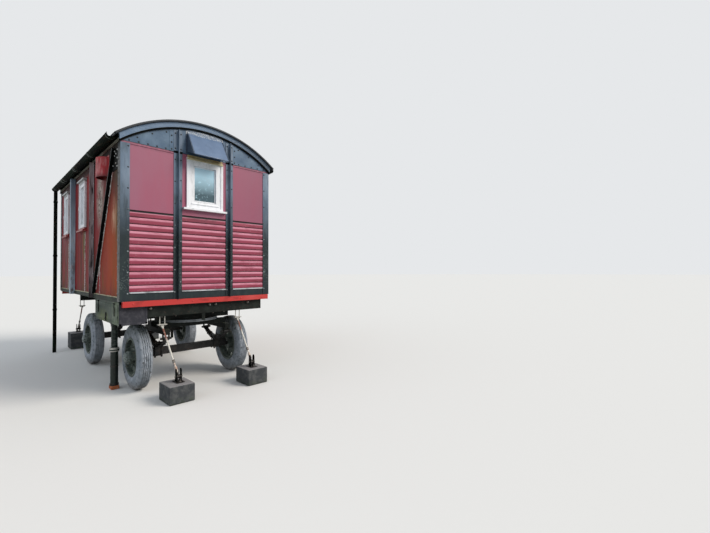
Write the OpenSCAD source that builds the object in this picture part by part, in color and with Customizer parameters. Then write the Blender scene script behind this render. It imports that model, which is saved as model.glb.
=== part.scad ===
// Wheeled shepherd's hut: an iron-framed living van body with a bowed roof on a
// turntable bogie in front and a fixed bogie behind, tied down to four ground blocks.
// Millimetres. +Z up, the lit end wall faces -Y, the long side with two windows faces -X.
// The origin lies on the ground under the middle of the body.

/* [Body] */
// Width over the side panels
body_w = 2300; // [2000:10:2600]
// Length over the end boards
body_l = 4720; // [4300:10:5400]
// Underside of the bottom rails above the ground
sill_z = 1365; // [1330:5:1450]
// Height of the side bottom rails
sill_h = 65; // [50:5:90]
// Level of the top of the side eaves' light trim
eave_z = 3590; // [3580:10:3800]
// Height of that trim
trim_h = 10; // [6:1:16]
// Top of the roof at the middle
crown_z = 4085; // [4020:5:4250]
// How far the roof sheet reaches past each side
eave_out = 85; // [60:5:110]
// Thickness of the boarded roof
roof_t = 28; // [18:1:40]
// How far the roof reaches past each end
roof_end_out = 45; // [30:5:80]
// Thickness of the wall framing with its lining
core_t = 55; // [40:5:80]
// Thickness of the end boards
board_t = 20; // [16:1:26]
// Thickness of the steel side panels
panel_t = 6; // [3:1:10]
// Thickness of the floor boards
deck_t = 25; // [18:1:32]

/* [Iron frame] */
// Thickness of every riveted iron
iron_t = 8; // [5:1:12]
// Width of the flat of each tee iron
tee_w = 122; // [80:2:140]
// How far the fin of each tee iron stands out
tee_fin = 50; // [30:2:60]
// Distance of the end tee irons from the middle
tee_x = 408; // [380:2:450]
// Width of each leg of the corner angles
corner_w = 116; // [80:2:130]
// Depth of the box posts between the side windows
post_d = 72; // [50:2:80]
// Width of the box posts between the side windows
post_w = 90; // [70:2:110]
// Width of the flat legs of the slanting braces
brace_w = 76; // [50:2:84]
// How far the fins of the slanting braces stand out
brace_out = 50; // [30:2:60]
// Distance of the joint between the first bay's panels from the front wall
joint_in = 1110; // [1000:10:1200]
// Width of the riveted cover strips
cover_w = 44; // [30:2:60]
// Distance of the cover strips under the windows from the middle of their bay
cover_off = 170; // [120:10:220]

/* [End walls] */
// Number of shiplap boards
boards = 12; // [8:1:14]
// Pitch of the shiplap boards
board_pitch = 94.5; // [80:0.5:96]
// Height of the bottom rail above its underside at the ends
end_rail_h = 112; // [90:2:130]
// Height of the thin drip strip under the boards
drip_h = 18; // [12:1:24]
// Height of the projecting painted strip
strip_h = 78; // [60:2:90]
// How far the painted strip stands out
strip_out = 38; // [20:2:60]
// How far the ends of the painted strip lie in from the sides
strip_in = 25; // [0:1:40]
// Lower edge of the plain gable sheets
gable_z = 3565; // [3550:5:3620]

/* [Windows] */
// Width of the end window frames
end_win_w = 575; // [500:5:620]
// Underside of the end window frames
end_win_z = 2753; // [2740:1:2800]
// Height of the end window frames
end_win_h = 772; // [700:2:780]
// Width of the side window frames
side_win_w = 480; // [400:10:600]
// Underside of the side window frames
side_win_z = 2530; // [2400:10:2700]
// Distance of the heads of the side windows under the eaves' trim
side_win_drop = 180; // [100:10:300]
// Thickness of the glass
glass_t = 5; // [4:1:6]
// How far the window frames stand out from the wall
frame_out = 30; // [20:2:40]
// How far the hoods over the end windows stand out
hood_out = 250; // [150:10:300]
// Width of the hoods
hood_w = 560; // [540:5:620]

/* [Door] */
// Clear width of the doorway
door_w = 700; // [600:10:800]
// Clear height of the doorway
door_h = 1880; // [1700:10:1950]
// Thickness of the door leaf
door_t = 44; // [35:1:50]

/* [Running gear] */
// Outside diameter of the tyres
tyre_d = 980; // [900:10:1060]
// Width of the tyres
tyre_w = 205; // [200:5:285]
// Width of their treads
tread_w = 136; // [110:2:180]
// Outer face of the front tyres, in from the side of the body
front_tyre_in = 280; // [250:5:320]
// Outer face of the rear tyres, in from the side of the body
rear_tyre_in = 180; // [160:5:240]
// Diameter of the rim seats
rim_d = 548; // [480:2:580]
// Diameter of the hub barrels
hub_d = 200; // [160:5:220]
// Diameter of the hub caps
cap_d = 156; // [100:2:160]
// Depth of the axle beams
beam_h = 110; // [90:5:140]
// Diameter of the axle ends
stub_d = 60; // [45:1:70]
// Distance of the front axle from the front wall
front_axle = 630; // [600:10:700]
// Distance of the rear axle from the front wall
rear_axle = 3000; // [2800:10:3600]
// Outside diameter of the turntable rings
ring_d = 920; // [800:10:960]
// Number of leaves in each spring
leaves = 6; // [3:1:8]
// Thickness of one spring leaf
leaf_t = 10; // [7:1:12]
// Distance between the eyes of each spring
spring_l = 760; // [600:10:800]
// How far the eyes stand over the middle of the top leaf
spring_rise = 100; // [60:5:140]

/* [Side locker] */
// Depth of the locker under the body
locker_w = 345; // [300:5:400]
// Length of the locker
locker_l = 1350; // [900:10:1400]
// Height of the locker
locker_h = 315; // [260:5:340]

/* [Ground fixings] */
// Length of the ground blocks along the body
block_l = 400; // [360:10:500]
// Width of the ground blocks
block_w = 345; // [300:5:420]
// Height of the front ground blocks
block_h = 250; // [150:10:300]
// Height of the rear ground blocks
rear_block_h = 370; // [250:10:420]
// Distance of the middle of the ground blocks from the end walls
block_out = 350; // [300:10:450]
// Diameter of the tie rods
rod_d = 24; // [16:1:32]
// Diameter of the prop's tube
prop_d = 104; // [60:2:110]
// Distance of the prop from the side of the body
prop_in = 145; // [130:5:160]
// Distance of the prop from the front wall
prop_back = 880; // [870:10:940]
// Thickness of the brick under the prop
pad_h = 55; // [40:5:75]

/* [Hidden] */
$fn = 48;
seat_gap = 0.3;                       // clearance between curved seats
run_gap = 0.05;                       // radial clearance of each wheel on its axle end
hx = body_w / 2;                      // side plane
hy = body_l / 2;                      // end plane
wall_z = sill_z + sill_h;             // top of the side rails and of the floor
rail_step = 13;                       // end rails' underside over the sides' underside
end_rail_z = sill_z + end_rail_h;
drip_z = end_rail_z + iron_t;
boards_z = drip_z + drip_h;           // underside of the lowest shiplap board
boards_top = boards_z + boards * board_pitch;
side_t = panel_t + core_t;            // whole side wall
end_t = board_t + core_t;             // whole end wall

// Roof arc: through the crown and the eaves' edge.
roof_hw = hx + eave_out;
eave_edge_z = eave_z + 52;
arc_rise = crown_z - eave_edge_z;
roof_r = (roof_hw * roof_hw + arc_rise * arc_rise) / (2 * arc_rise);
arc_z = crown_z - roof_r;             // centre of the roof arc
roof_ri = roof_r - roof_t;
band_d = 125;                         // depth of the end arches under the roof's top
band_r = roof_r - band_d;
function arc_at(r, x) = arc_z + sqrt(r * r - x * x);
side_top = arc_at(roof_ri, hx) - seat_gap;
post_top = eave_z - trim_h;           // top of the side tees and posts
angle_top = arc_at(band_r, hx + iron_t) - seat_gap;

// Bays of the long sides.
bay = body_l / 3;
function bay_mid(i) = -hy + bay * (i + 0.5);
tee_y = -hy + bay;
post_y = -hy + 2 * bay;

// Windows.
stile = 35;                           // fixed frame
sash_w = 78;                          // opening sash
end_open_w = end_win_w - 2 * stile;
end_open_h = end_win_h - 2 * stile;
end_glass_w = end_open_w - 2 * sash_w;
end_glass_h = end_open_h - 2 * sash_w;
side_win_h = eave_z - trim_h - side_win_drop - side_win_z;
side_open_w = side_win_w - 2 * stile;
side_open_h = side_win_h - 2 * stile;
side_sash = 60;
sash_fit = seat_gap;                  // gap round a closed sash
sash_out = 18;                        // how far a sash stands out from the wall
sash_t = 45;

// Chassis.
chassis_h = 200;
chassis_x = 540;
chassis_w = 75;
chassis_z = sill_z - chassis_h;
bearer_h = sill_h - deck_t;
head_in = 30;                         // headstock set back from the end plane
head_t = 75;
head_h = 230;
head_z = sill_z - head_h;
head_end = 130;                       // far end of the headstock, in from the side
strip_z = sill_z + rail_step - strip_h;

// Bogies, from the ground up.
axle_z = tyre_d / 2;
beam_w = 90;
beam_z = axle_z - 20;
spring_x = 480;
spring_w = 76;
spring_z = beam_z + beam_h + 12 + leaves * leaf_t;      // top of the pack at its middle
spring_r = (spring_l * spring_l / 4 + spring_rise * spring_rise) / (2 * spring_rise);
eye_r = 24;
eye_z = spring_z + spring_rise + eye_r - leaf_t / 2;
side_h = 80;                          // bogie side members
side_w = spring_w + 2;
shackle_t = 8;
pin_d = 22;                           // spring pins
bolster_y = 220;                      // bolsters before and behind each axle
side_z = eye_z + eye_r + 34;
cross_h = 80;                         // cross members under the ring
cross_z = side_z + side_h;
ring_t = 18;                          // thickness of each of the two rings
ring_w = 80;
ring_z = cross_z + cross_h;
bolster_z = ring_z + 2 * ring_t;
bolster_h = chassis_z - bolster_z;
bolster_w = 90;
front_y = -hy + front_axle;
rear_y = -hy + rear_axle;

// Wheels.
front_wheel_x = hx - front_tyre_in - tyre_w / 2;  // middle planes of the wheels
rear_wheel_x = hx - rear_tyre_in - tyre_w / 2;
rim_t = 12;
rim_half = tyre_w / 2 - 22;           // half the width of the rim
flange_h = 20;
hub_face = tyre_w / 2 + 12;           // outer end of the hub barrel
hub_cover = 10;                       // thickness of the hub's end plate
cap_h = 36;                           // hub cap beyond that plate
end_play = 5;                         // between the axle end and the hub's end plate

// Tie rods.
front_rod_x = 595;                    // tops of the front rods
front_foot_x = 520;                   // foot of the left one
right_foot_x = 620;                   // foot of the right one, which leans out
front_block_x = 540;
rear_rod_x = 770;
block_y = hy + block_out;
clamp_z = head_z - 115;

// Prop.
prop_x = -hx + prop_in;
prop_y = -hy + prop_back;
locker_z = sill_z - locker_h;

// Helpers

module both_ends() { children(); rotate([0, 0, 180]) children(); }
module both_sides() { children(); mirror([1, 0, 0]) children(); }
module front_and_back() { children(); mirror([0, 1, 0]) children(); }

// A box between two corners.
module block(a, b) { translate(a) cube(b - a); }

// An outline in X and Z drawn in the plane y, as thick as t towards +Y.
module end_sheet(y, t) { translate([0, y + t, 0]) rotate([90, 0, 0]) linear_extrude(t) children(); }

// An outline in Y and Z drawn in the plane x, as thick as t towards +X.
module side_sheet(x, t) { translate([x, 0, 0]) rotate([90, 0, 90]) linear_extrude(t) children(); }

// The region under the roof arc of radius r, between the heights z0 and the arc.
module under_arc(r, half, z0) {
    intersection() {
        translate([0, arc_z]) circle(r = r, $fn = 180);
        translate([-half, z0]) square([2 * half, crown_z - z0 + 10]);
    }
}

// The band between two arcs, cut off at the half width.
module arc_band(r0, r1, half, z0) {
    difference() {
        under_arc(r1, half, z0);
        translate([0, arc_z]) circle(r = r0, $fn = 180);
    }
}

// A rectangle from its middle x, its underside and its size.
module pane(x, z, w, h) { translate([x - w / 2, z]) square([w, h]); }

// A rectangular ring of the outer size w by h and the border b.
module ring_pane(x, z, w, h, b) {
    difference() {
        pane(x, z, w, h);
        pane(x, z + b, w - 2 * b, h - 2 * b);
    }
}

// A tee iron standing on z0, its flat against the plane y = 0, its fin towards -Y.
module tee(z0, z1) {
    translate([0, 0, z0]) linear_extrude(z1 - z0) {
        translate([-tee_w / 2, -iron_t]) square([tee_w, iron_t]);
        translate([-iron_t / 2, -tee_fin - iron_t]) square([iron_t, tee_fin + 1]);
    }
}

// A channel along +Y with its back at x = 0 and its lips towards +X.
module channel(l, w, h, t) {
    translate([0, l, 0]) rotate([90, 0, 0]) linear_extrude(l) difference() {
        square([w, h]);
        translate([t, t]) square([w, h - 2 * t]);
    }
}

// Floor and rails

module floor_deck() {
    color("peru") block([-hx + side_t, -hy + end_t, wall_z - deck_t],
        [hx - side_t, hy - end_t, wall_z]);
}

module floor_bearers() {
    color("saddlebrown")
        for (i = [0:6]) {
            y = -hy + 260 + i * (body_l - 520) / 6;
            block([-hx + side_t, y - 35, sill_z], [hx - side_t, y + 35, sill_z + bearer_h]);
        }
}

// Bottom rails under the long sides, with a raised band between the irons.
module side_rails() {
    color("darkslategray") both_sides() {
        block([-hx, -hy + end_t, sill_z], [-hx + side_t, hy - end_t, wall_z]);
        for (i = [0:2]) {
            a = i == 0 ? -hy + corner_w : i == 1 ? tee_y + tee_w / 2 : post_y + post_w / 2;
            b = i == 0 ? tee_y - tee_w / 2 : i == 1 ? post_y - post_w / 2 : hy - corner_w;
            block([-hx - iron_t, a + 1, sill_z], [-hx + 1, b - 1, wall_z - 3]);
        }
    }
}

// The end rails: the back part lies between the side panels.
module end_rails() {
    color("darkslategray") both_ends() {
        block([-hx, -hy, sill_z + rail_step], [hx, -hy + board_t, drip_z]);
        block([-hx + panel_t, -hy, sill_z + rail_step], [hx - panel_t, -hy + end_t, drip_z]);
    }
}

// Walls

module left_wall() {
    color("tan") side_sheet(-hx + panel_t, core_t) difference() {
        translate([-hy + end_t, wall_z]) square([body_l - 2 * end_t, side_top - wall_z]);
        for (i = [1, 2]) pane(bay_mid(i), side_win_z, side_win_w, side_win_h);
    }
}

module right_wall() {
    color("tan") side_sheet(hx - side_t, core_t) difference() {
        translate([-hy + end_t, wall_z]) square([body_l - 2 * end_t, side_top - wall_z]);
        pane(bay_mid(2), side_win_z, side_win_w, side_win_h);
        pane(0, wall_z - 1, door_w + 2 * stile, door_h + stile + 1);
    }
}

module end_core() {
    end_sheet(-hy + board_t, core_t) difference() {
        under_arc(roof_ri - seat_gap, hx - side_t, drip_z);
        pane(0, end_win_z, end_win_w, end_win_h);
    }
}

module front_wall() { color("tan") end_core(); }
module rear_wall() { color("tan") rotate([0, 0, 180]) end_core(); }

// Steel side panels: one to a bay, meeting behind the irons.
module side_panel(i) {
    a = i == 0 ? -hy + board_t : -hy + i * bay + 2;
    b = i == 2 ? hy - board_t : -hy + (i + 1) * bay - 2;
    translate([a, wall_z]) square([b - a, side_top - wall_z]);
}

module left_panels() {
    color("firebrick") side_sheet(-hx, panel_t) {
        side_panel(0);
        for (i = [1, 2]) difference() {
            side_panel(i);
            pane(bay_mid(i), side_win_z, side_win_w, side_win_h);
        }
    }
}

module right_panels() {
    color("firebrick") side_sheet(hx - panel_t, panel_t) {
        side_panel(0);
        difference() {
            side_panel(1);
            pane(0, wall_z - 1, door_w + 2 * stile, door_h + stile + 1);
        }
        difference() {
            side_panel(2);
            pane(bay_mid(2), side_win_z, side_win_w, side_win_h);
        }
    }
}

// One bay of shiplap: each board has a cove along its top and a shadow gap under it.
module shiplap(x0, x1) {
    cove = 15;
    gap = 5;
    lap = 7;
    for (i = [0:boards - 1])
        translate([x0, -hy, boards_z + i * board_pitch]) rotate([90, 0, 90])
            linear_extrude(x1 - x0) difference() {
                translate([0, gap]) square([board_t, board_pitch - gap]);
                translate([0, board_pitch]) circle(r = cove, $fn = 32);
            }
    block([x0, -hy + board_t - lap, boards_z], [x1, -hy + board_t, boards_top]);
}

module end_shiplap() {
    edge = tee_x - 2;
    shiplap(-hx, -tee_x - 2);
    shiplap(-edge, edge);
    shiplap(tee_x + 2, hx);
}

module end_boards() { color("indianred") both_ends() end_shiplap(); }

// Plain panels over the shiplap, the middle one cut for the window.
module plain_panels() {
    h = gable_z - boards_top;
    end_sheet(-hy, board_t) {
        for (s = [-1, 1]) pane(s * (hx + tee_x + 2) / 2, boards_top, hx - tee_x - 2, h);
        difference() {
            pane(0, boards_top, 2 * tee_x - 4, h);
            pane(0, end_win_z, end_win_w, end_win_h);
        }
    }
}

module end_panels() { color("rosybrown") both_ends() plain_panels(); }

// Gable sheets under the arch, one to a bay, with a cover flat beside each tee.
module gable_sheets() {
    joint = 4;
    flat_w = 62;
    flat_t = 4;
    color("lightslategray") both_ends() {
        end_sheet(-hy, board_t) difference() {
            under_arc(roof_ri - seat_gap, hx, gable_z);
            for (s = [-1, 1]) translate([s * tee_x - joint / 2, gable_z - 1]) square([joint, crown_z]);
        }
        for (s = [-1, 1]) end_sheet(-hy - flat_t, flat_t + 1) intersection() {
            under_arc(band_r - seat_gap, hx, gable_z);
            pane(s * (tee_x + tee_w / 2 + 1 + flat_w / 2), gable_z, flat_w, crown_z);
        }
    }
}

module drip_strips() {
    proud = 14;
    color("white") both_ends() {
        for (x = [[-hx + corner_w + 2, -tee_x - tee_w / 2 - 2],
                  [-tee_x + tee_w / 2 + 2, tee_x - tee_w / 2 - 2],
                  [tee_x + tee_w / 2 + 2, hx - corner_w - 2]])
            block([x[0], -hy - proud, drip_z], [x[1], -hy + board_t, boards_z]);
        // filling strips behind the irons
        for (x = [[-hx, -hx + corner_w], [-tee_x - tee_w / 2, -tee_x + tee_w / 2],
                  [tee_x - tee_w / 2, tee_x + tee_w / 2], [hx - corner_w, hx]])
            block([x[0], -hy, drip_z], [x[1], -hy + board_t, boards_z]);
    }
}

module painted_strips() {
    color("crimson") both_ends()
        block([-hx + strip_in, -hy - strip_out, strip_z],
            [hx - strip_in, -hy + head_in, strip_z + strip_h]);
}

// Iron frame

module corner_angles() {
    z0 = strip_z + strip_h;
    color("dimgray") both_ends() both_sides()
        translate([0, 0, z0]) linear_extrude(angle_top - z0) {
            translate([-hx - iron_t, -hy - iron_t]) square([corner_w, iron_t]);
            translate([-hx - iron_t, -hy - iron_t]) square([iron_t, corner_w]);
        }
}

module end_tee_irons() {
    z0 = strip_z + strip_h;
    z1 = arc_at(band_r, tee_x + tee_w / 2) - 2;
    color("dimgray") both_ends()
        for (s = [-1, 1]) translate([s * tee_x, -hy, 0]) tee(z0, z1);
}

module side_tee_irons() {
    color("dimgray") both_sides()
        translate([-hx, tee_y, 0]) rotate([0, 0, -90]) tee(sill_z, post_top);
}

module side_posts() {
    color("slategray") both_sides()
        block([-hx - post_d, post_y - post_w / 2, sill_z],
            [-hx, post_y + post_w / 2, post_top]);
}

// Slanting angle irons in the first bay, from under the eaves down to the foot of the tee.
brace_top = [-hy + 250, eave_z - 90];
brace_foot = [tee_y - tee_w / 2 - 1.25 * brace_w, wall_z + 12];
brace_run = brace_foot - brace_top;
brace_len = norm(brace_run);
brace_tilt = atan2(brace_run[0], -brace_run[1]);

function brace_z_at(y) = brace_top[1]
    + (y - brace_top[0]) * brace_run[1] / brace_run[0];
function brace_y_at(z) = brace_top[0]
    + (z - brace_top[1]) * brace_run[0] / brace_run[1];

module side_braces() {
    gusset_h = 300;
    gusset_y = -hy - iron_t + corner_w + 1;
    gusset_z = brace_top[1] - gusset_h;
    color("black") both_sides() {
        translate([-hx, brace_top[0], brace_top[1]]) rotate([brace_tilt, 0, 0])
            translate([0, 0, -brace_len]) {
                block([-iron_t, 0, 0], [0, brace_w, brace_len]);
                block([-brace_out, 0, 0], [0, iron_t, brace_len]);
            }
        // gusset plate between the corner angle and the brace
        side_sheet(-hx - iron_t, iron_t) polygon([[gusset_y, gusset_z], [gusset_y, brace_top[1]],
            [brace_top[0] + iron_t, brace_top[1]], [brace_y_at(gusset_z) + iron_t, gusset_z]]);
    }
}

// Riveted cover strips over the panel joints.
module cover_strips() {
    t = 4;
    brace_gap = 20;
    sill_gap = 40;
    module strip(y, top) {
        block([-hx - t, y - cover_w / 2, wall_z], [-hx, y + cover_w / 2, top]);
    }
    joint_y = -hy + joint_in;
    color("gray") {
        both_sides() {
            strip(joint_y, brace_z_at(joint_y + cover_w / 2) - brace_gap);
            strip(bay_mid(2) - cover_off, side_win_z - sill_gap);
        }
        strip(bay_mid(1) - cover_off, side_win_z - sill_gap);
    }
}

// Roof and gutters

// Boarded roof under a thin skin that laps a little past its ends.
module roof_shell() {
    lip = 14;
    skin_t = 6;
    color("darkgray") {
        end_sheet(-hy - roof_end_out, body_l + 2 * roof_end_out)
            arc_band(roof_ri, roof_r - skin_t / 2, roof_hw - 4, eave_z - 60);
        end_sheet(-hy - roof_end_out - lip, body_l + 2 * (roof_end_out + lip))
            arc_band(roof_r - skin_t, roof_r, roof_hw, eave_z - 60);
    }
}

// Arched bands under the roof's ends: a deep band and a bead along its foot.
module end_arches() {
    bead = 26;
    color("slategray") both_ends() {
        end_sheet(-hy - 32, 32)
            arc_band(band_r + bead, roof_ri - seat_gap, hx + 20, eave_z - 60);
        end_sheet(-hy - 20, 20)
            arc_band(band_r, band_r + bead, hx + 20, eave_z - 60);
    }
}

// Boards under the eaves with a light trim along the foot.
module eave_boards() {
    color("darkolivegreen") both_sides() {
        block([-hx - 18, -hy + 10, eave_z], [-hx, hy - 10, side_top - 20]);
        block([-hx - 24, -hy + 10, eave_z - trim_h], [-hx, hy - 10, eave_z]);
    }
}

gutter_r = 62;
gutter_t = 3;
gutter_x = hx + 92;
gutter_z = side_top - 28;
gutter_y0 = -hy + 50;
gutter_y1 = hy + 140;
gutter_lengths = 4;
gutter_l = (gutter_y1 - gutter_y0) / gutter_lengths;

module gutter_profile(r0, r1) {
    difference() {
        circle(r = r1);
        circle(r = r0);
        translate([-r1 - 1, 0]) square(2 * r1 + 2);
    }
}

// Half-round gutters in lengths, with an end plate each; the front one stays below the roof.
module gutters() {
    bite = 0.5;
    roof_edge = arc_at(roof_ri, roof_hw) - gutter_z;
    module end_plate(top) {
        linear_extrude(gutter_t) intersection() {
            circle(r = gutter_r - gutter_t + bite);
            translate([-gutter_r, -gutter_r]) square([2 * gutter_r, gutter_r + top]);
        }
    }
    color("darkslategray") both_sides() translate([-gutter_x, gutter_y1, gutter_z])
        rotate([90, 0, 0]) {
            for (i = [0:gutter_lengths - 1]) translate([0, 0, i * gutter_l])
                linear_extrude(gutter_l - seat_gap)
                    gutter_profile(gutter_r - gutter_t, gutter_r);
            end_plate(0);
            translate([0, 0, gutter_y1 - gutter_y0 - gutter_t - seat_gap])
                end_plate(min(0, roof_edge - 4));
        }
}

// Arms that hold the back of each gutter off the eaves boards.
module gutter_brackets() {
    w = 40;
    arm_h = 36;
    count = 5;
    ends = 120;
    back = gutter_x - gutter_r - seat_gap;
    color("dimgray") both_sides()
        for (i = [0:count - 1]) {
            y = -hy + ends + i * (body_l - 2 * ends) / (count - 1);
            block([-back, y - w / 2, gutter_z - arm_h], [-hx - 18, y + w / 2, gutter_z]);
        }
}

module downpipes() {
    color("darkslategray") both_sides() translate([-gutter_x, gutter_y1 - 60, 0])
        cylinder(d = 68, h = gutter_z - gutter_r - seat_gap);
}

// Half-round cowl on the side, closed on top and open below.
module vent_cowl() {
    d = 125;
    w = 330;
    h = 290;
    t = 4;
    r = (w * w / 4 + d * d) / (2 * d);
    module plan(inset) {
        intersection() {
            translate([r - d, 0]) circle(r = r - inset, $fn = 96);
            translate([-d - 1, -w]) square([d + 1, 2 * w]);
        }
    }
    color("brown") translate([-hx, bay_mid(0), eave_z - 120 - h]) difference() {
        linear_extrude(h) plan(0);
        translate([0, 0, -t]) linear_extrude(h) plan(t);
    }
}

// Windows and door

// The frame and the sash of the front window in X and Z; the wall's plane is y = -hy.
module end_window_frames() {
    sill_w = end_win_w + 105;
    color("white") both_ends() {
        end_sheet(-hy - frame_out, frame_out + end_t)
            ring_pane(0, end_win_z, end_win_w, end_win_h, stile);
        block([-sill_w / 2, -hy - frame_out - 34, end_win_z - 28],
            [sill_w / 2, -hy, end_win_z]);
    }
}

module end_window_sashes() {
    color("white") both_ends() end_sheet(-hy - sash_out, sash_t)
        ring_pane(0, end_win_z + stile + sash_fit, end_open_w - 2 * sash_fit,
            end_open_h - 2 * sash_fit, sash_w - sash_fit);
}

module side_window_frame(y) {
    side_sheet(-hx - frame_out, frame_out + side_t)
        ring_pane(y, side_win_z, side_win_w, side_win_h, stile);
    // sill and head drip
    block([-hx - frame_out - 30, y - side_win_w / 2 - 30, side_win_z - 28],
        [-hx, y + side_win_w / 2 + 30, side_win_z]);
    block([-hx - frame_out - 26, y - side_win_w / 2 - 30, side_win_z + side_win_h],
        [-hx, y + side_win_w / 2 + 30, side_win_z + side_win_h + 26]);
}

module side_window_frames() {
    color("white") {
        for (i = [1, 2]) side_window_frame(bay_mid(i));
        mirror([1, 0, 0]) side_window_frame(bay_mid(2));
    }
}

module side_window_sash(y) {
    side_sheet(-hx - sash_out, sash_t)
        ring_pane(y, side_win_z + stile + sash_fit, side_open_w - 2 * sash_fit,
            side_open_h - 2 * sash_fit, side_sash - sash_fit);
}

module side_window_sashes() {
    color("white") {
        for (i = [1, 2]) side_window_sash(bay_mid(i));
        mirror([1, 0, 0]) side_window_sash(bay_mid(2));
    }
}

module window_glass() {
    inset = 12;
    color("lightcyan") {
        both_ends() end_sheet(-hy + inset, glass_t)
            pane(0, end_win_z + stile + sash_w, end_glass_w, end_glass_h);
        for (p = [[1, 1], [2, 1], [2, -1]])
            mirror([p[1] < 0 ? 1 : 0, 0, 0]) side_sheet(-hx + inset, glass_t)
                pane(bay_mid(p[0]), side_win_z + stile + side_sash,
                    side_open_w - 2 * side_sash, side_open_h - 2 * side_sash);
    }
}

// Bare timber heads over the end windows.
module window_heads() {
    side = 12;
    h = 36;
    color("burlywood") both_ends()
        block([-end_win_w / 2 + side, -hy - frame_out + 6, end_win_z + end_win_h],
            [end_win_w / 2 - side, -hy, end_win_z + end_win_h + h]);
}

// A sloping sheet over each end window, with two cheeks.
module window_hoods() {
    t = 4;
    top = arc_at(band_r, hood_w / 2) - 12;
    lip = end_win_z + end_win_h;
    back = lip + 90;
    module side_profile() {
        polygon([[0, back], [0, top], [-hood_out, lip + 12], [-hood_out, lip]]);
    }
    color("darkslategray") both_ends() translate([0, -hy, 0]) {
        for (x = [-hood_w / 2, hood_w / 2 - t]) translate([x, 0, 0])
            rotate([90, 0, 90]) linear_extrude(t) side_profile();
        translate([-hood_w / 2, 0, 0]) rotate([90, 0, 90]) linear_extrude(hood_w)
            polygon([[0, top], [0, top - t * 2], [-hood_out + t, lip + 12 - t],
                [-hood_out + t, lip], [-hood_out, lip], [-hood_out, lip + 12]]);
    }
}

module door_frame() {
    color("white") side_sheet(hx - side_t, side_t + frame_out) difference() {
        pane(0, wall_z, door_w + 2 * stile, door_h + stile);
        pane(0, wall_z - 1, door_w, door_h + 1);
    }
}

module door_leaf() {
    fit = 3;
    hinge_h = 90;
    color("firebrick") {
        side_sheet(hx - 30, door_t) pane(0, wall_z + fit, door_w - 2 * fit, door_h - 2 * fit);
        // hinges that fill the gap to the frame
        for (z = [220, door_h / 2, door_h - 220])
            block([hx - 30, -door_w / 2, wall_z + z - hinge_h / 2],
                [hx - 30 + door_t, -door_w / 2 + fit + 1, wall_z + z + hinge_h / 2]);
        translate([hx - 30 + door_t, door_w / 2 - 70, wall_z + 980]) rotate([0, 90, 0])
            cylinder(d = 40, h = 12);
    }
}

// Chassis

module chassis_rails() {
    l = body_l - 2 * (head_in + head_t);
    color("darkslategray") both_sides()
        translate([chassis_x - chassis_w / 2, -l / 2, chassis_z]) channel(l, chassis_w, chassis_h, 9);
}

module headstocks() {
    color("darkslategray") front_and_back()
        block([-hx + locker_w, -hy + head_in, head_z],
            [hx - head_end, -hy + head_in + head_t, sill_z + rail_step]);
}

module side_locker() {
    color("darkseagreen") block([-hx, -hy + head_in, locker_z],
        [-hx + locker_w, -hy + head_in + locker_l, sill_z]);
}

// Cross bolsters between the chassis and each bogie, with the strap under the headstock.
module bolsters() {
    color("darkslategray") {
        for (s = [-1, 1]) {
            block([-chassis_x - chassis_w / 2, front_y + s * bolster_y - bolster_w / 2, bolster_z],
                [chassis_x + chassis_w / 2, front_y + s * bolster_y + bolster_w / 2, chassis_z]);
            block([-chassis_x - chassis_w / 2, rear_y + s * bolster_y - bolster_w / 2, ring_z],
                [chassis_x + chassis_w / 2, rear_y + s * bolster_y + bolster_w / 2, chassis_z]);
        }
        block([-25, -hy + head_in + 5, bolster_z], [25, -hy + head_in + 15, head_z]);
    }
}

// Two rings that lie on each other, with a groove between their edges.
module turntable_rings() {
    groove = 6;
    step = 14;
    r = ring_d / 2;
    color("gray") translate([0, front_y, ring_z]) rotate_extrude($fn = 96) {
        translate([r - ring_w, 0]) square([ring_w, ring_t - groove / 2]);
        translate([r - ring_w, ring_t - groove / 2 - 1]) square([ring_w - step, groove + 2]);
        translate([r - ring_w, ring_t + groove / 2]) square([ring_w - step / 2, ring_t - groove / 2]);
    }
}

// Side and cross members that carry the springs.
module bogie_frame(y) {
    translate([0, y, 0]) {
        for (s = [-1, 1]) {
            block([s * spring_x - side_w / 2, -spring_l / 2 - 60, side_z],
                [s * spring_x + side_w / 2, spring_l / 2 + 60, cross_z]);
            block([-spring_x - side_w / 2, s * bolster_y - bolster_w / 2, cross_z],
                [spring_x + side_w / 2, s * bolster_y + bolster_w / 2, ring_z]);
        }
        // shackle plates down to the spring pins
        for (x = [-1, 1]) for (e = [-1, 1]) for (p = [-1, 1])
            translate([x * spring_x + p * (side_w + shackle_t) / 2 - shackle_t / 2,
                e * spring_l / 2, eye_z])
                rotate([90, 0, 90]) linear_extrude(shackle_t) difference() {
                    union() {
                        circle(r = 26);
                        translate([-26, 0]) square([52, side_z - eye_z + 40]);
                    }
                    circle(d = pin_d + 2 * seat_gap);
                }
    }
}

module front_bogie() { color("darkslategray") bogie_frame(front_y); }
module rear_bogie() { color("darkslategray") bogie_frame(rear_y); }

// One spring: leaves of falling length under a top leaf with rolled eyes.
module spring() {
    translate([-spring_w / 2, 0, 0]) rotate([90, 0, 90]) linear_extrude(spring_w) {
        for (i = [0:leaves - 1]) {
            half = spring_l / 2 * (1 - i / leaves) + 40 * (i / leaves);
            r = spring_r + i * leaf_t;
            intersection() {
                difference() {
                    translate([0, spring_z + spring_r]) circle(r = r + leaf_t, $fn = 240);
                    translate([0, spring_z + spring_r]) circle(r = r - 0.01, $fn = 240);
                }
                translate([-half, spring_z - leaves * leaf_t - 20])
                    square([2 * half, spring_rise + leaves * leaf_t + 40]);
            }
        }
        for (s = [-1, 1]) translate([s * spring_l / 2, eye_z]) circle(r = eye_r);
    }
}

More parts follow.
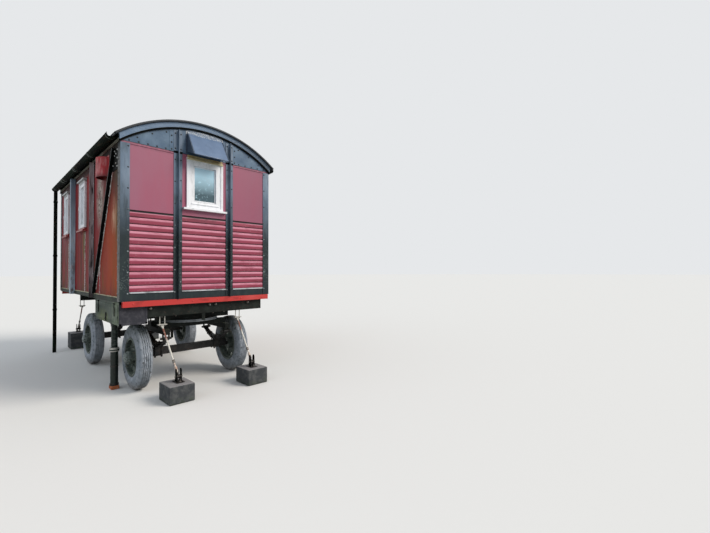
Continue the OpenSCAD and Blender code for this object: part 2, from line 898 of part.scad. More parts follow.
module springs() {
    color("dimgray") for (y = [front_y, rear_y]) both_sides() translate([spring_x, y, 0]) {
        spring();
        for (s = [-1, 1]) translate([0, s * spring_l / 2, eye_z]) rotate([0, 90, 0])
            cylinder(d = pin_d, h = side_w + 2 * shackle_t + 24, center = true);
        // clamp plates and bolts round the axle beam
        block([-62, -64, spring_z], [62, 64, spring_z + 12]);
        block([-62, -64, beam_z - 12], [62, 64, beam_z]);
        for (u = [-1, 1]) for (v = [-1, 1])
            translate([u * (spring_w / 2 + 10), v * (beam_w / 2 + 9), beam_z - 34])
                cylinder(d = 14, h = spring_z - beam_z + 60);
    }
}

module axle(y, x) {
    beam_hx = x - tyre_w / 2 - 12;
    stub_x = x + hub_face - end_play;
    translate([0, y, 0]) {
        block([-beam_hx, -beam_w / 2, beam_z], [beam_hx, beam_w / 2, beam_z + beam_h]);
        for (s = [-1, 1]) block([s * spring_x - spring_w / 2, -44, beam_z + beam_h],
            [s * spring_x + spring_w / 2, 44, beam_z + beam_h + 12]);
        both_sides() translate([beam_hx - 1, 0, axle_z]) rotate([0, 90, 0])
            cylinder(d = stub_d, h = stub_x - beam_hx + 1);
    }
}

module axles() {
    color("gray") {
        axle(front_y, front_wheel_x);
        axle(rear_y, rear_wheel_x);
    }
}

// Wheels

// Half section of a tyre, radius along x and width along y.
module tyre_profile() {
    half = tyre_w / 2;
    r_out = tyre_d / 2;
    shoulder = 26;
    tread = tread_w / 2;
    bead = rim_half - rim_t / 2 - seat_gap;
    difference() {
        union() {
            translate([r_out - half - 8, 0]) circle(r = half, $fn = 64);
            translate([rim_d / 2, -bead]) square([r_out - half - 8 - rim_d / 2, 2 * bead]);
            translate([r_out - half - 8, -tread]) square([half + 8 - shoulder, 2 * tread]);
            translate([r_out - shoulder - 2, -tread + shoulder])
                square([shoulder + 2, 2 * tread - 2 * shoulder]);
            for (s = [-1, 1]) translate([r_out - shoulder, s * (tread - shoulder)])
                circle(r = shoulder);
        }
        translate([0, -half - 1]) square([rim_d / 2 + seat_gap, 2 * half + 2]);
        // seats of the rim's flanges
        for (m = [0, 1]) mirror([0, m]) translate([0, bead])
            square([rim_d / 2 + flange_h + seat_gap, half]);
        for (k = [-1.5:1:1.5]) translate([r_out - 9, k * tread_w / 5 - 4]) square([20, 8]);
    }
}

// A disc wheel, its axis along +X with +X outwards.
module disc_wheel() {
    r = rim_d / 2;
    disc_x = 15;
    holes = 8;
    hole_d = 56;
    hole_r = r - 56;
    difference() {
        rotate([0, 90, 0]) rotate_extrude($fn = 96) {
            translate([r - rim_t, -rim_half]) square([rim_t, 2 * rim_half]);
            for (s = [-1, 1]) translate([r - rim_t, s * rim_half - rim_t / 2])
                square([rim_t + flange_h, rim_t]);
            translate([stub_d / 2 + 2, disc_x]) square([r - rim_t / 2 - stub_d / 2 - 2, 10]);
            translate([stub_d / 2 + run_gap, 10 - rim_half])
                square([hub_d / 2 - stub_d / 2 - run_gap, rim_half - 10 + hub_face]);
            translate([0, hub_face]) square([hub_d / 2, hub_cover]);
            translate([0, hub_face + hub_cover - 1]) square([cap_d / 2, cap_h + 1]);
            translate([0, hub_face + hub_cover + cap_h - 1]) square([cap_d / 2 - 14, 9]);
        }
        for (k = [0:holes - 1]) rotate([k * 360 / holes, 0, 0]) translate([0, 0, hole_r])
            rotate([0, 90, 0]) cylinder(d = hole_d, h = 60);
    }
}

// Turns the pieces of a wheel outwards at its place.
module at_wheel(side, y) {
    x = y < 0 ? front_wheel_x : rear_wheel_x;
    translate([side * x, y, axle_z]) rotate([0, 0, side < 0 ? 180 : 0]) children();
}

module wheel(side, y) { color("slategray") at_wheel(side, y) disc_wheel(); }

module tyre(side, y) {
    color("dimgray") at_wheel(side, y) rotate([0, 90, 0])
        rotate_extrude($fn = 96) tyre_profile();
}

module wheel_front_left() { wheel(-1, front_y); }
module wheel_front_right() { wheel(1, front_y); }
module wheel_rear_left() { wheel(-1, rear_y); }
module wheel_rear_right() { wheel(1, rear_y); }
module tyre_front_left() { tyre(-1, front_y); }
module tyre_front_right() { tyre(1, front_y); }
module tyre_rear_left() { tyre(-1, rear_y); }
module tyre_rear_right() { tyre(1, rear_y); }

// Ground fixings

module ground_block(x, y, h) {
    block([x - block_w / 2, y - block_l / 2, 0], [x + block_w / 2, y + block_l / 2, h]);
}

module ground_blocks() {
    color("dimgray") {
        ground_block(-front_block_x, -block_y, block_h);
        ground_block(right_foot_x, -block_y, block_h);
        for (s = [-1, 1]) ground_block(s * rear_rod_x, block_y, rear_block_h);
    }
}

// One tie rod from a clamp under the headstock down to a pair of lugs on a block.
module tie_rod(top_x, foot_x, h) {
    top_y = -hy + head_in + head_t / 2;
    eye_up = 72;                      // pin of the lugs above the block
    lug_w = 64;
    lug_t = 8;
    lug_gap = 38;
    top = [top_x, top_y, clamp_z - 30];
    foot = [foot_x, -block_y, h + eye_up];
    run = top - foot;
    clamp_w = 60;
    translate([top_x, top_y, clamp_z]) {
        for (s = [-1, 1]) translate([s * 34, 0, -24]) cylinder(d = 14, h = head_z - clamp_z + 24);
        block([-clamp_w, -30, -12], [clamp_w, 30, 0]);
        block([-18, -18, -46], [18, 18, -11]);
    }
    // the rod with its long nut
    translate(foot) rotate([0, acos(run[2] / norm(run)), atan2(run[1], run[0])]) {
        cylinder(d = rod_d, h = norm(run));
        translate([0, 0, 60]) cylinder(d = rod_d + 14, h = 90);
    }
    // eye, pin and lugs
    translate(foot) {
        rotate([0, 90, 0]) cylinder(d = rod_d + 20, h = lug_gap - 2 * seat_gap, center = true);
        rotate([0, 90, 0]) cylinder(d = 16, h = lug_gap + 2 * lug_t + 24, center = true);
        for (s = [-1, 1]) translate([s * (lug_gap + lug_t) / 2 - lug_t / 2, 0, 0])
            rotate([90, 0, 90]) linear_extrude(lug_t) {
                circle(d = lug_w);
                translate([-lug_w / 2, -eye_up]) square([lug_w, eye_up]);
            }
        for (s = [-1, 1]) translate([0, s * 62, -eye_up]) cylinder(d = 16, h = 34);
        translate([-55, -85, -eye_up]) cube([110, 170, 8]);
    }
}

module tie_rods() {
    color("silver") {
        tie_rod(-front_rod_x, -front_foot_x, block_h);
        mirror([1, 0, 0]) tie_rod(-front_rod_x, -right_foot_x, block_h);
        mirror([0, 1, 0]) both_sides() tie_rod(-rear_rod_x, -rear_rod_x, rear_block_h);
    }
}

// Screw prop: a tube with a threaded bar and a square head under the locker.
module prop() {
    head_d = 120;
    thread_z = 590;
    thread_top = locker_z - 40;
    pitch = 14;
    color("darkolivegreen") translate([prop_x, prop_y, 0]) {
        rotate_extrude() {
            translate([0, pad_h]) square([prop_d / 2 + 10, 10]);
            translate([0, pad_h]) square([prop_d / 2, thread_z - pad_h]);
            translate([0, thread_z - 8]) square([prop_d / 2 + 14, 20]);
            translate([0, thread_z]) square([prop_d / 2 - 12, thread_top - thread_z]);
            for (z = [thread_z + 20:pitch:thread_top - pitch])
                translate([0, z]) polygon([[prop_d / 2 - 13, 0], [prop_d / 2 - 6, 3],
                    [prop_d / 2 - 6, 6], [prop_d / 2 - 13, 9]]);
        }
        block([-head_d / 2, -head_d / 2, thread_top - 1], [head_d / 2, head_d / 2, locker_z]);
    }
}

module prop_pad() {
    brick_w = 112;
    brick_l = 150;
    color("sienna") block([prop_x - brick_w / 2, prop_y - brick_l / 2, 0],
        [prop_x + brick_w / 2, prop_y + brick_l / 2, pad_h]);
}

// Assembly

floor_deck();
floor_bearers();
side_rails();
end_rails();
left_wall();
right_wall();
front_wall();
rear_wall();
left_panels();
right_panels();
end_boards();
end_panels();
gable_sheets();
drip_strips();
painted_strips();
corner_angles();
end_tee_irons();
side_tee_irons();
side_posts();
side_braces();
cover_strips();
roof_shell();
end_arches();
eave_boards();
gutters();
gutter_brackets();
downpipes();
vent_cowl();
end_window_frames();
end_window_sashes();
side_window_frames();
side_window_sashes();
window_glass();
window_heads();
window_hoods();
door_frame();
door_leaf();
chassis_rails();
headstocks();
side_locker();
bolsters();
turntable_rings();
front_bogie();
rear_bogie();
springs();
axles();
wheel_front_left();
wheel_front_right();
wheel_rear_left();
wheel_rear_right();
tyre_front_left();
tyre_front_right();
tyre_rear_left();
tyre_rear_right();
ground_blocks();
tie_rods();
prop();
prop_pad();
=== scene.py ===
import math

import bpy
from mathutils import Matrix, Vector


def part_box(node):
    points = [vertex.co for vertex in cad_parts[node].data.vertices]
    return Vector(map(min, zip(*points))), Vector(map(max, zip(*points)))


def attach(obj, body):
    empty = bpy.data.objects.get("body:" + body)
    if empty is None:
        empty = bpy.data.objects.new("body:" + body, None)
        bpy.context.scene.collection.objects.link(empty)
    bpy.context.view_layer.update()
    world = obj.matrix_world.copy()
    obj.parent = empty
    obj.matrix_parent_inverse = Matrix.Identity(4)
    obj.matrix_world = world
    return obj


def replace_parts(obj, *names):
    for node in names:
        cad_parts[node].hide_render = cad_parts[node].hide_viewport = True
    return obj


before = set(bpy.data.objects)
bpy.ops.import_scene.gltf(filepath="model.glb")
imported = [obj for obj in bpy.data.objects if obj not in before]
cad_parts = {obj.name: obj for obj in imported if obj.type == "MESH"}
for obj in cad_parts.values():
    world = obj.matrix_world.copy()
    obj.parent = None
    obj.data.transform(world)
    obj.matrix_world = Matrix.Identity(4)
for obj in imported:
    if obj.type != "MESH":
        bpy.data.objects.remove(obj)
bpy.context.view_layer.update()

bl_info = {
    "name": "Shepherd's hut dressing",
    "version": (1, 0, 0),
    "blender": (4, 5, 0),
    "location": "View3D > Sidebar > Hut",
    "description": "Paints the wheeled hut and adds its rivets, tyres and fittings",
    "category": "Object",
}

MM = 0.001
HUT = "hut"
WHEELS = ("front_left", "front_right", "rear_left", "rear_right")
FRONT, LEFT, RIGHT, UP, DOWN = (0, -1, 0), (-1, 0, 0), (1, 0, 0), (0, 0, 1), (0, 0, -1)

# Planes, levels and widths of the body, from the frame.
HALF_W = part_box("right_panels")[1].x
HALF_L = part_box("end_boards")[1].y
SILL_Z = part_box("side_rails")[0].z
BOARDS_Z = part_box("end_boards")[0].z
BOARDS_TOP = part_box("end_panels")[0].z
GABLE_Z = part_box("gable_sheets")[0].z
EAVE_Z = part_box("side_posts")[1].z
ROOF_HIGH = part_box("roof_shell")[1]
IRON = -HALF_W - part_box("corner_angles")[0].x
CORNER_W = 0.116
TEE_W = 0.122
TEE_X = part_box("end_tee_irons")[1].x - TEE_W / 2
TEE_Y = -HALF_L / 3
POST_Y = HALF_L / 3
BOARD_COUNT = 12


def arc_of(node, edge):
    """Radius and centre height of an arched node's top, through its crown and its edge at x."""
    points = [v.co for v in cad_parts[node].data.vertices]
    crown = max(p.z for p in points)
    rim = max(p.z for p in points if p.x > edge - MM)
    rise = crown - rim
    radius = (edge * edge + rise * rise) / (2 * rise)
    return radius, crown - radius


ROOF_R, ARC_Z = arc_of("roof_shell", ROOF_HIGH.x)


def arc_top(radius, x):
    """Height of an arc of that radius about the roof's centre, at x."""
    return ARC_Z + math.sqrt(radius * radius - x * x)


BAND_R = ROOF_R - 0.125


def linear(hex_colour):
    """Turns an sRGB hex colour into linear red, green, blue and alpha."""
    channels = [int(hex_colour[i:i + 2], 16) / 255 for i in (1, 3, 5)]
    bent = [c / 12.92 if c <= 0.04045 else ((c + 0.055) / 1.055) ** 2.4 for c in channels]
    return (*bent, 1.0)


def length(name, description, default, low, high):
    return bpy.props.FloatProperty(name=name, description=description, default=default,
        min=low, max=high, unit="LENGTH")


def colour(name, description, default):
    return bpy.props.FloatVectorProperty(name=name, description=description, subtype="COLOR",
        size=4, default=linear(default))


class HutSizes(bpy.types.PropertyGroup):
    rivet: length("Rivet", "Diameter of a rivet's head", 0.017, 0.008, 0.03)
    rivet_pitch: length("Rivet pitch", "Distance between rivets on the upright irons",
        0.18, 0.08, 0.4)
    bolt: length("Bolt", "Width of a bolt's head across its flats", 0.034, 0.015, 0.06)
    groove: length("Tread groove", "Depth of the grooves round each tyre", 0.012, 0.002, 0.02)


class HutColours(bpy.types.PropertyGroup):
    panel: colour("Panels", "Faded maroon of the plain end panels", "#A0566E")
    boards: colour("Boards", "Maroon of the shiplap boards", "#94304A")
    sheet: colour("Side sheets", "Old red of the long sides", "#7E1A1E")
    signal: colour("Bright red", "Red of the strips and the door", "#C43430")
    # the irons are black gloss; this default is pale blue-grey, a painted reflection of the sky
    iron: colour("Irons", "Black paint of the riveted irons", "#677A8E")
    white: colour("White", "White of the window frames", "#F4F6FA")


def add_node(tree, kind, settings=None, links=None):
    """Adds a node, sets its properties and free sockets, and links its other sockets."""
    made = tree.nodes.new(kind)
    for name, value in (settings or {}).items():
        if isinstance(name, str) and hasattr(made, name):
            setattr(made, name, value)
        else:
            made.inputs[name].default_value = value
    for name, source in (links or {}).items():
        tree.links.new(source, made.inputs[name])
    return made


class Finish:
    """A material in the making: a base colour, layers laid over it, and relief."""

    def __init__(self, name, colour, roughness, metallic, shine):
        self.material = bpy.data.materials.new(name)
        self.material.use_nodes = True
        self.tree = self.material.node_tree
        self.tree.nodes.clear()
        self.shader = add_node(self.tree, "ShaderNodeBsdfPrincipled", {
            "Base Color": colour, "Roughness": roughness, "Metallic": metallic,
            "Specular IOR Level": shine})
        self.place = add_node(self.tree, "ShaderNodeTexCoord").outputs["Object"]
        self.base = colour
        self.colour = None

    def patches(self, size, low, high, stretch=(1, 1, 1)):
        """Cloudy patches about size across, none below the level low and full above high."""
        scaled = add_node(self.tree, "ShaderNodeMapping", {
            "Scale": [1 / (size * s) for s in stretch]}, {"Vector": self.place})
        noise = add_node(self.tree, "ShaderNodeTexNoise", {
            "Scale": 1.0, "Detail": 4.0, "Roughness": 0.55},
            {"Vector": scaled.outputs[0]})
        return add_node(self.tree, "ShaderNodeMapRange", {
            "From Min": low, "From Max": high}, {"Value": noise.outputs["Fac"]}).outputs[0]

    def specks(self, size, reach):
        """Round specks one to a cell of that size, as wide as reach times the cell."""
        cells = add_node(self.tree, "ShaderNodeTexVoronoi", {"Scale": 1 / size},
            {"Vector": self.place})
        return add_node(self.tree, "ShaderNodeMapRange", {
            "From Min": reach, "From Max": reach * 0.5},
            {"Value": cells.outputs["Distance"]}).outputs[0]

    def along(self, axis, start, end):
        """Grows from none at start to full at end, by the place along an axis."""
        split = add_node(self.tree, "ShaderNodeSeparateXYZ", None, {"Vector": self.place})
        return add_node(self.tree, "ShaderNodeMapRange", {
            "From Min": start, "From Max": end}, {"Value": split.outputs[axis]}).outputs[0]

    def upwards(self, low, high):
        """Full on faces whose normal looks up by more than high, none below low."""
        normal = add_node(self.tree, "ShaderNodeNewGeometry").outputs["Normal"]
        split = add_node(self.tree, "ShaderNodeSeparateXYZ", None, {"Vector": normal})
        return add_node(self.tree, "ShaderNodeMapRange", {
            "From Min": low, "From Max": high}, {"Value": split.outputs["Z"]}).outputs[0]

    def arc(self, start, end):
        """Grows from none to full by the distance from the roof's centre line."""
        flat = add_node(self.tree, "ShaderNodeMapping", {
            "Location": (0, 0, -ARC_Z), "Scale": (1, 0, 1)}, {"Vector": self.place})
        reach = add_node(self.tree, "ShaderNodeVectorMath", {"operation": "LENGTH"},
            {0: flat.outputs[0]})
        return add_node(self.tree, "ShaderNodeMapRange", {
            "From Min": start, "From Max": end}, {"Value": reach.outputs["Value"]}).outputs[0]

    def course(self, start, pitch, low, high):
        """Grows from none at the share low of each course's height to full at high."""
        split = add_node(self.tree, "ShaderNodeSeparateXYZ", None, {"Vector": self.place})
        level = add_node(self.tree, "ShaderNodeMath", {"operation": "SUBTRACT", 1: start},
            {0: split.outputs["Z"]})
        wrapped = add_node(self.tree, "ShaderNodeMath", {"operation": "WRAP", 1: pitch, 2: 0.0},
            {0: level.outputs[0]})
        return add_node(self.tree, "ShaderNodeMapRange", {
            "From Min": low * pitch, "From Max": high * pitch},
            {"Value": wrapped.outputs[0]}).outputs[0]

    def spot(self, centre, size):
        """Full at the centre and none at the edge of an ellipsoid of that half size."""
        scaled = add_node(self.tree, "ShaderNodeMapping", {
            "Location": [-c / s for c, s in zip(centre, size)],
            "Scale": [1 / s for s in size]}, {"Vector": self.place})
        reach = add_node(self.tree, "ShaderNodeVectorMath", {"operation": "LENGTH"},
            {0: scaled.outputs[0]})
        return add_node(self.tree, "ShaderNodeMapRange", {
            "From Min": 1.0, "From Max": 0.2}, {"Value": reach.outputs["Value"]}).outputs[0]

    def layer(self, colour, mask):
        """Lays a colour over what is there, as far as the mask goes."""
        links = {0: mask}
        settings = {"data_type": "RGBA", 7: colour}
        if self.colour is None:
            settings[6] = self.base
        else:
            links[6] = self.colour
        self.colour = add_node(self.tree, "ShaderNodeMix", settings, links).outputs[2]

    def gloss(self, mask, dull):
        """Takes the surface from its own roughness to dull as far as the mask goes."""
        shine = self.shader.inputs["Roughness"].default_value
        self.tree.links.new(add_node(self.tree, "ShaderNodeMapRange", {
            "To Min": shine, "To Max": dull}, {"Value": mask}).outputs[0],
            self.shader.inputs["Roughness"])

    def relief(self, mask, depth, strength):
        """Raises the surface by depth where the mask is full."""
        links = {"Height": mask}
        before = self.shader.inputs["Normal"]
        if before.is_linked:
            links["Normal"] = before.links[0].from_socket
        bump = add_node(self.tree, "ShaderNodeBump", {
            "Strength": strength, "Distance": depth}, links)
        self.tree.links.new(bump.outputs[0], before)

    def done(self):
        """Joins the layers to the shader and the shader to the output."""
        if self.colour is not None:
            self.tree.links.new(self.colour, self.shader.inputs["Base Color"])
        output = add_node(self.tree, "ShaderNodeOutputMaterial")
        self.tree.links.new(self.shader.outputs[0], output.inputs["Surface"])
        return self.material


class Mask:
    """Where a colour or a relief shows, drawn in a material's nodes when that is made."""

    def __init__(self, draw):
        self.draw = draw

    def __mul__(self, other):
        """Where both masks hold, or one mask held down to a share of its strength."""
        def draw(paint):
            links, settings = {0: self.draw(paint)}, {"operation": "MULTIPLY"}
            if isinstance(other, Mask):
                links[1] = other.draw(paint)
            else:
                settings[1] = other
            return add_node(paint.tree, "ShaderNodeMath", settings, links).outputs[0]
        return Mask(draw)


def mask_of(method):
    """What makes a mask that is drawn by one of a finish's methods."""
    return lambda *values: Mask(lambda paint: method(paint, *values))


patches, specks, along, upwards, arc, course, spot = map(mask_of, (
    Finish.patches, Finish.specks, Finish.along, Finish.upwards, Finish.arc, Finish.course,
    Finish.spot))


def band(axis, low, high):
    """Full between two levels on an axis, none outside them."""
    return along(axis, low - MM, low) * along(axis, high + MM, high)


def grain(size, depth, strength, stretch=(1, 1, 1)):
    """Fine relief: its mask, its depth in mm and its strength."""
    return patches(size, 0.3, 0.7, stretch), depth, strength


# Places that the finishes below share.
COURSE = (BOARDS_TOP - BOARDS_Z) / BOARD_COUNT
TEE_EDGE = TEE_W / 2 - 0.014
FIRST_BAY = along("Y", -HALF_L + 1.25, -HALF_L + 0.3)
UNDER_COWL = spot((-HALF_W, -1.22, 2.93), (0.3, 0.28, 0.56))
COWL_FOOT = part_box("vent_cowl")[0].z
SASH_LOW, SASH_HIGH = (c.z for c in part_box("side_window_sashes"))
FLANK = -HALF_W - IRON
SIDE_TEE_X = abs(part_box("side_tee_irons")[0].x)
BRACE_X = abs(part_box("side_braces")[0].x)
HOOD_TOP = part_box("window_hoods")[1]
HOOD_HEAD = along("Z", HOOD_TOP.z - 0.055, HOOD_TOP.z - 0.045)
SEAMS = [band("Y", seam - 0.035, seam + 0.035) for seam in (-HALF_L / 2, 0, HALF_L / 2)]
EAVE_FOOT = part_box("eave_boards")[0].z
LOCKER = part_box("side_locker")[0]
LOCKER_FRONT = along("Y", LOCKER.y + 3 * MM, LOCKER.y + MM)


def hub_face(wheel):
    """The outer end of a wheel's hub."""
    low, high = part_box("wheel_" + wheel)
    mid = (low + high) / 2
    return spot((low.x if "left" in wheel else high.x, mid.y, mid.z), (0.09, 0.22, 0.22))


